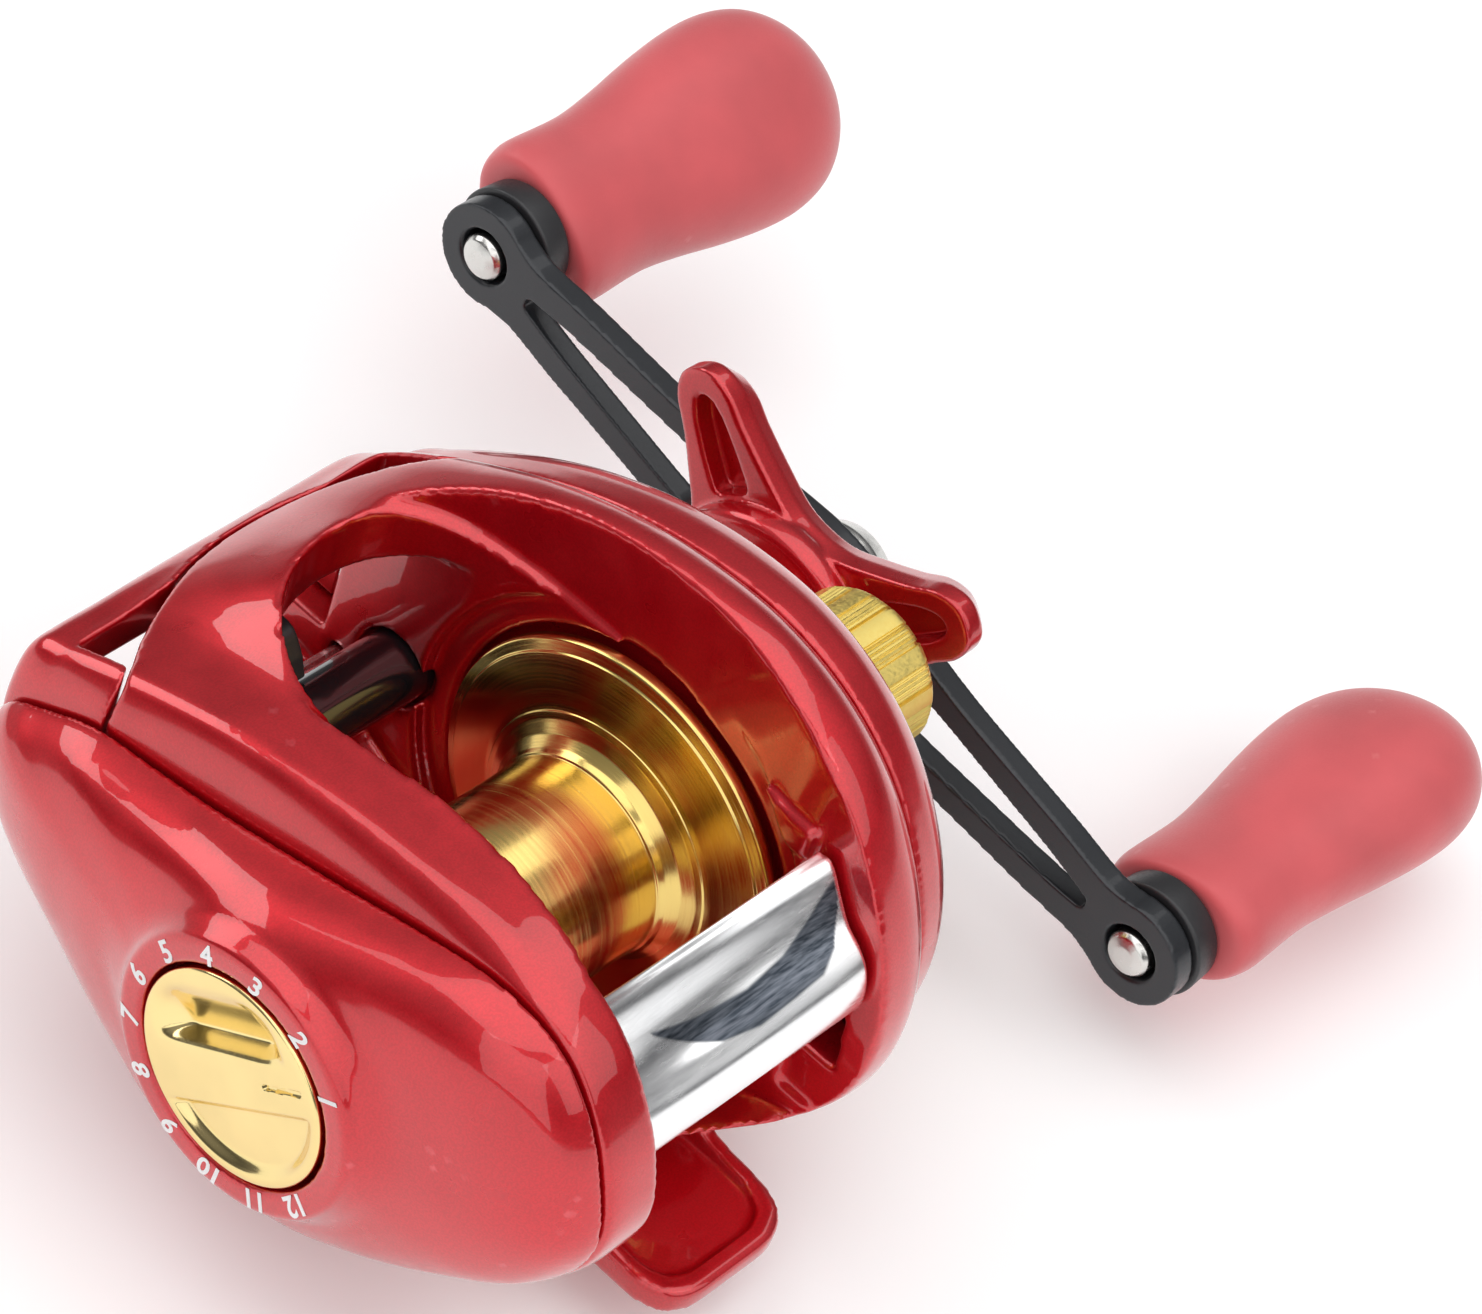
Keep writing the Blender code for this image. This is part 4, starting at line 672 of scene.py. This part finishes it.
ANGLES = (143.5, 116.0, 88.8, 61.3, 35.7, 9.0, -16.3, -42.0, -67.9, -93.0, -118.8, -144.8)
printed = []
for number, angle in enumerate(ANGLES, 1):
    text = bpy.data.curves.new("numeral", "FONT")
    text.body = str(number)
    text.size = 2.5 * MM
    text.offset = 0.06 * MM
    text.shear = 0.15
    text.align_x, text.align_y = "CENTER", "CENTER"
    text.extrude = 0.02 * MM
    text.resolution_u = 4
    obj = bpy.data.objects.new("numeral", text)
    bpy.context.scene.collection.objects.link(obj)
    a = math.radians(angle)
    up = Vector((0, math.cos(a), math.sin(a)))
    out = Vector((-1, 0, 0))
    right = up.cross(out)
    spot = row((DIAL_FACE - 0.015, 10.52 * math.cos(a), 10.52 * math.sin(a)))
    obj.matrix_world = Matrix((
        (right.x, up.x, out.x, spot.x), (right.y, up.y, out.y, spot.y), (right.z, up.z, out.z, spot.z), (0, 0, 0, 1)))
    bpy.context.view_layer.update()
    world = obj.matrix_world.copy()
    mesh = baked(obj)
    mesh.transform(world)
    printed.append(mesh)
bm = bmesh.new()
for mesh in printed:
    bm.from_mesh(mesh)
bmesh.ops.remove_doubles(bm, verts=bm.verts, dist=1e-7)
numerals = bpy.data.meshes.new("dial_numerals")
bm.to_mesh(numerals)
bm.free()
obj = piece("dial_numerals", numerals, WHITE_INK, "housing", [])
numerals.shade_flat()

# ------------------------------------------------------------------ cast control knob
def tension_outline(count=528):
    out = []
    for i in range(count):
        a = 2 * math.pi * i / count
        share = (i / count * 12) % 1.0
        r = 7.15
        if share < 0.07 or 0.50 < share < 0.56:
            r -= 0.32 if share < 0.07 else 0.2
        elif 0.56 <= share:
            r -= 0.09 * (1 + math.cos(2 * math.pi * (share - 0.56) / 0.055)) / 2 + 0.03
        out.append((r * math.cos(a), r * math.sin(a)))
    return out


outline = tension_outline()
rings = []
for x, s in spline_rows([(33.7, 0.965), (33.95, 0.995), (34.3, 1.0), (36.0, 1.0), (39.0, 1.0), (42.0, 1.0), (43.1, 1.0), (43.5, 0.985), (44.05, 0.92), (44.4, 0.86)], 3):
    rings.append([(x, y * s, z * s) for y, z in outline])
knob_mesh = csg("tension_skin", loft("tension_skin", rings, triangulate=False), [("-", rod_x(5.5, 30, 40.6))])
piece("tension_skin", knob_mesh, GOLD_KNOB, "cast_group", ["cast_control_knob"], 28)

# ------------------------------------------------------------------ thumb bar
THUMB = [(-17.9, 15.2), (-18.6, 15.8), (-19.6, 15.6), (-21.2, 13.4), (-22.6, 11.6), (-24.2, 10.4), (-25.4, 9.0), (-26.0, 7.0),
         (-25.9, 5.0), (-25.0, 3.6), (-23.4, 3.2), (-21.9, 4.0), (-20.9, 6.0), (-19.8, 9.0), (-18.7, 12.2)]
PULL = {0: 0.35, 1: 0.6, 2: 0.8, 3: 0.9, 4: 0.7, 5: 0.25, 13: 0.2, 14: 0.3}
# bounds along the bar, in section points, of the painted dark reflection in the dish
REFLECTION_TOP = [(-9.5, 2.95), (-4.2, 3.38), (1.2, 3.62), (5.3, 3.38), (8.7, 2.75), (10.6, 2.38), (11.5, 2.3)]
REFLECTION_LOW = [(-9.5, 2.95), (-9.0, 3.3), (-6.3, 4.12), (-3.4, 5.0), (0.3, 5.38), (4.5, 5.25), (7.6, 5.12), (9.7, 4.5), (11.2, 3.3), (11.5, 2.3)]


def along(x, table):
    for (x0, t0), (x1, t1) in zip(table, table[1:]):
        if x <= x1:
            return t0 + (t1 - t0) * (x - x0) / (x1 - x0)
    return table[-1][1]


thumb_rings, reflection_marks = [], []
xs = [-13.8, -13.65, -13.3] + [-13.0 + 24.6 * k / 140 for k in range(141)] + [11.75, 11.9]
for x in xs:
    dip = 2.6 * max(0.0, 1 - ((x + 1) / 12.4) ** 2)
    edge = 1.0 if x in (-13.8, 11.9) else (0.35 if x in (-13.65, 11.75) else 0.0)
    ring = []
    for k, (y, z) in enumerate(THUMB):
        pull = PULL.get(k, 0.0) * dip
        cy, cz = -22.0, 8.6
        y2, z2 = y + 0.34 * pull * 0.6, z - 0.94 * pull * 0.75
        ring.append((cy + (y2 - cy) * (1 - edge * 0.12), cz + (z2 - cz) * (1 - edge * 0.12)))
    fine = spline_loop(ring, 24)
    thumb_rings.append([(x, y, z) for y, z in fine])
    for i in range(len(fine)):
        t = i / 24.0
        reflection_marks.append(min(smoothstep((t - along(x, REFLECTION_TOP)) / 0.18), smoothstep((along(x, REFLECTION_LOW) - t) / 0.18)) if -9.4 < x < 11.4 else 0.0)
thumb_mesh = loft("thumb_skin", thumb_rings, triangulate=False)
# per-vertex mask for the painted dark reflection in the chrome material
field = thumb_mesh.attributes.new("dish", "FLOAT", "POINT")
field.data.foreach_set("value", reflection_marks + [0.0] * (len(thumb_mesh.vertices) - len(reflection_marks)))
piece("thumb_skin", thumb_mesh, CHROME, "thumb_group", ["thumb_bar"], 50)

# ------------------------------------------------------------------ level wind
wall = [(3.2 * math.cos(a), 3.2 * math.sin(a)) for a in [math.radians(28 + 304 * k / 90) for k in range(91)]]
wall += [(2.6 * math.cos(a), 2.6 * math.sin(a)) for a in [math.radians(332 - 304 * k / 90) for k in range(91)]]
tube = prism_x([(WORM[0] + y, WORM[1] + z) for y, z in wall], -13.6, 13.6)
piece("tube_skin", tube, TUBE, "housing", ["level_wind_tube"], 40)
saddle = [(WORM[0] + 3.55 * math.cos(a), WORM[1] + 3.55 * math.sin(a)) for a in [math.radians(-66 + 132 * k / 40) for k in range(41)]]
guide_side = rounded([(26.4, -6.9), (30.2, -6.9), (30.8, -5.6), (30.6, 2.0), (31.0, 4.6), (29.6, 5.4), (27.0, 5.2), (25.6, 3.2)], 0.8) + saddle[::-1]
guide_mesh = csg("guide_skin", prism_x(guide_side, -2.9, 2.9), [
    ("-", rod_x(1.05, -5, 5, (28.8, -5.2), 32)),
    ("-", loft("eye", [[((1.5 + f) * math.cos(a), y, 2.4 + (1.3 + f) * math.sin(a)) for a in [2 * math.pi * k / 48 for k in range(48)]]
                       for y, f in ((20, 0.0), (29.6, 0.0), (31.2, 0.9), (33, 1.5))])),
    ("-", loft("seat", [[(1.3 * math.cos(a), y, WORM[1] + 1.3 * math.sin(a)) for a in [2 * math.pi * k / 32 for k in range(32)]] for y in (20, 28.4)]))])
piece("guide_skin", soften("guide_skin", guide_mesh, 0.16, 4), BLACK, "guide_group", ["line_guide"])

# ------------------------------------------------------------------ handle
U = (math.cos(ARM_ANGLE), math.sin(ARM_ANGLE))
V = (-U[1], U[0])


def in_arm(u, v):
    return (u * U[0] + v * V[0], u * U[1] + v * V[1])


def on_shaft(points):
    return [(SHAFT[0] + y, SHAFT[1] + z) for y, z in points]


side = [(ARM_HALF + 4.9 * math.cos(a), 4.9 * math.sin(a)) for a in [math.radians(-118 + 236 * k / 40) for k in range(41)]]
flank = smooth_line([(38.3, 4.33), (35.6, 3.75), (30.0, 4.3), (24.0, 4.7), (17.0, 5.25), (11.0, 6.2), (4.5, 7.6), (0.0, 8.05), (-4.5, 7.6), (-11.0, 6.2), (-17.0, 5.25),
                     (-24.0, 4.7), (-30.0, 4.3), (-35.6, 3.75), (-38.3, 4.33)], 6)[3:-3]
arm_loop = side + flank + [(-u, -v) for u, v in side] + [(-u, -v) for u, v in flank]
arm_plan = on_shaft([in_arm(u, v) for u, v in arm_loop])


def slot_plan(sign):
    edge = smooth_line([(35.25, 0.0), (35.1, 0.5), (34.2, 0.85), (29.5, 1.55), (22.0, 2.25), (15.0, 2.85), (13.2, 2.6), (12.4, 1.5), (12.2, 0.0)], 5)
    pts = edge + [(u, -w) for u, w in edge[1:-1][::-1]]
    return on_shaft([in_arm(sign * u, sign * v) for u, v in pts])


PINS = [in_arm(ARM_HALF, 0), in_arm(-ARM_HALF, 0)]
arm_steps = [("-", prism_x(slot_plan(1), 48, 58)), ("-", prism_x(slot_plan(-1), 48, 58)), ("-", rod_x(3.05, 48, 58, SHAFT))]
for pin in PINS:
    at = (SHAFT[0] + pin[0], SHAFT[1] + pin[1])
    arm_steps += [("-", rod_x(2.5, 48, 58, at, 60)),
                  ("-", loft("sink", [[(x, y, z) for y, z in circle(r, 60, at)] for x, r in ((50.9, 3.05), (51.9, 2.45))]))]
arm_mesh = csg("arm_skin", prism_x(arm_plan, ARM_IN, ARM_IN + ARM_T), arm_steps)
piece("arm_skin", soften("arm_skin", arm_mesh, 0.17, 4), SATIN, "handle_group", ["handle_arm"])

nut = spun("nut_skin", [(54.0, 2.4), (54.0, 5.2), (56.6, 5.2), (58.6, 4.1), (59.6, 2.4), (59.8, 0), (58.2, 0), (58.2, 2.4)], SHAFT, 96, 0.3)
piece("nut_skin", nut, SILVER, "handle_group", ["handle_nut"], 40)

KNOB = [(57.2, 6.2, 4.5), (57.3, 6.8, 4.95), (57.8, 7.3, 5.25), (58.6, 7.6, 5.35), (60.0, 7.8, 5.4), (66.0, 7.6, 5.3), (71.0, 8.2, 5.6),
        (76.0, 9.1, 6.0), (81.0, 9.75, 6.4), (85.0, 9.8, 6.5), (88.5, 9.0, 6.1), (91.2, 7.3, 5.1), (93.2, 5.0, 3.6), (94.2, 2.8, 2.1), (94.5, 1.2, 0.9)]
for number, (pin, spin) in enumerate(zip(PINS, (math.radians(32), math.radians(-22))), 1):
    at = (SHAFT[0] + pin[0], SHAFT[1] + pin[1])
    mesh = spun("pin_skin", [(50.55, 0), (50.6, 1.0), (50.9, 1.8), (51.35, 2.12), (54.2, 2.15), (54.2, 2.0), (80.4, 2.0), (80.4, 0)], at, 64, 0.15)
    piece("pin_skin_%d" % number, mesh, SILVER, "handle_group", ["knob_pin_%d" % number], 40)
    mesh = spun("collar_skin", [(54.0, 2.45), (54.0, 5.3), (56.9, 5.1), (56.9, 2.45)], at, 72, 0.35)
    piece("collar_skin_%d" % number, mesh, BLACK, "handle_group", ["knob_collar_%d" % number], 40)
    rings = []
    for x, a, b in spline_rows(KNOB, 4):
        ring = []
        for i in range(96):
            t = 2 * math.pi * i / 96
            u = a * math.copysign(abs(math.cos(t)) ** 0.94, math.cos(t))
            v = b * math.copysign(abs(math.sin(t)) ** 0.94, math.sin(t))
            ring.append((x, at[0] + u * math.cos(spin) - v * math.sin(spin), at[1] + u * math.sin(spin) + v * math.cos(spin)))
        rings.append(ring)
    mesh = csg("knob_skin", loft("knob_skin", rings), [("-", rod_x(2.35, 50, 81.2, at, 40))])
    piece("knob_skin_%d" % number, soften("knob_skin_%d" % number, mesh, 0.34, 4), CORAL, "knob_%d" % number, ["handle_knob_%d" % number])

# ------------------------------------------------------------------ star drag
def star_plan(scale=1.0):
    corner = []
    for k in range(4):
        mid = math.radians(50.0 + 90 * k)
        for off, r in ((-45, 10.4), (-30, 11.2), (-19, 13.9), (-11.5, 17.6), (-8.6, 20.4), (-4.6, 22.2), (0, 22.6),
                       (4.6, 22.2), (8.6, 20.4), (11.5, 17.6), (19, 13.9), (30, 11.2)):
            a = mid + math.radians(off)
            corner.append((r * scale * math.cos(a), r * scale * math.sin(a)))
    return on_shaft(spline_loop(corner, 6))


star_steps = [("+", spun("hub", [(44.9, 5.4), (44.9, 10.2), (45.4, 10.8), (46.6, 11.0), (47.9, 10.6), (47.9, 5.4)], SHAFT, 120, 0.3)),
              ("-", rod_x(5.4, 40, 60, SHAFT))]
for k in range(4):
    a0 = math.radians(50.0 + 90 * k)
    pocket = on_shaft([(r * math.cos(a0 + w), r * math.sin(a0 + w)) for r, w in (
        (11.4, -0.17), (14.5, -0.13), (18.0, -0.085), (19.8, -0.045), (20.3, 0.0), (19.8, 0.045), (18.0, 0.085), (14.5, 0.13), (11.4, 0.17))])
    star_steps.append(("-", prism_x(rounded(pocket, 0.8, closed=True), 44.0, 49.4)))
star_mesh = csg("star_skin", loft("star", [[(x, y, z) for y, z in star_plan(s)] for x, s in ((47.4, 1.0), (49.2, 1.0), (51.0, 0.925))]), star_steps)
piece("star_skin", soften("star_skin", star_mesh, 0.22, 5), CANDY, "star_group", ["star_drag"])

# ------------------------------------------------------------------ floor, light, camera
lowest = min(v.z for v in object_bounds())
floor_mesh = bpy.data.meshes.new("floor")
floor_mesh.from_pydata([(-3, -3, 0), (3, -3, 0), (3, 3, 0), (-3, 3, 0)], [], [(0, 1, 2, 3)])
floor = bpy.data.objects.new("floor", floor_mesh)
bpy.context.scene.collection.objects.link(floor)
floor.location = (0, 0, lowest - 0.0002)
m, nodes, links, shader, where = material("floor_pale", (0.93, 0.93, 0.93), 0.9)
shader.inputs["Specular IOR Level"].default_value = 0.1
shader.inputs["Emission Color"].default_value = (1, 1, 1, 1)
shader.inputs["Emission Strength"].default_value = 0.12
floor_mesh.materials.append(m)
floor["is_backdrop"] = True


def light(name, at, target, size, power, size_y=None, colour=(1, 1, 1)):
    data = bpy.data.lights.new(name, "AREA")
    data.shape = "RECTANGLE"
    data.size, data.size_y = size, size_y or size
    data.energy = power
    data.color = colour
    obj = bpy.data.objects.new(name, data)
    bpy.context.scene.collection.objects.link(obj)
    obj.location = at
    obj.rotation_mode = "QUATERNION"
    obj.rotation_quaternion = (Vector(target) - Vector(at)).to_track_quat("-Z", "Y")
    return obj


AIM = (0.01, 0.0, 0.02)
light("overhead", (0.05, 0.05, 0.75), AIM, 1.05, 3.9, 0.85)
light("key_left", (-0.62, -0.30, 0.42), AIM, 0.75, 2.3, 0.85)
light("rear_panel", (0.10, -0.75, 0.62), AIM, 1.0, 2.6, 0.75)
light("front_fill", (-0.10, 0.70, 0.40), AIM, 0.5, 1.4, 0.35)

world = bpy.data.worlds.new("studio")
bpy.context.scene.world = world
world.use_nodes = True
wn, wl = world.node_tree.nodes, world.node_tree.links
back = wn["Background"]
coord = wn.new("ShaderNodeTexCoord")
split = wn.new("ShaderNodeSeparateXYZ")
wl.new(coord.outputs["Generated"], split.inputs[0])
ramp = wn.new("ShaderNodeValToRGB")
wl.new(split.outputs[2], ramp.inputs[0])
ramp.color_ramp.elements[0].position, ramp.color_ramp.elements[0].color = 0.0, (0.55, 0.55, 0.56, 1)
ramp.color_ramp.elements[1].position, ramp.color_ramp.elements[1].color = 0.75, (0.95, 0.95, 0.96, 1)
dark = ramp.color_ramp.elements.new(0.22)
dark.color = (0.24, 0.24, 0.25, 1)
wl.new(ramp.outputs[0], back.inputs[0])
back.inputs[1].default_value = 0.38

eye = Vector(((-254.93 + OX) * MM, -151.55 * MM, (325.96 + OZ) * MM))
ax, ay, az = Vector((0.6582, -0.7137, 0.2397)), -Vector((-0.4194, -0.612, -0.6705)), -Vector((0.6252, 0.3408, -0.7021))
lens = bpy.data.cameras.new("photo_camera")
lens.sensor_fit = "HORIZONTAL"
lens.sensor_width = 36
lens.lens = 139.70
lens.clip_start, lens.clip_end = 0.01, 10
camera = bpy.data.objects.new("photo_camera", lens)
bpy.context.scene.collection.objects.link(camera)
camera.matrix_world = Matrix(((ax.x, ay.x, az.x, eye.x), (ax.y, ay.y, az.y, eye.y), (ax.z, ay.z, az.z, eye.z), (0, 0, 0, 1)))
bpy.context.scene.camera = camera
bpy.context.scene.view_settings.view_transform = "Standard"
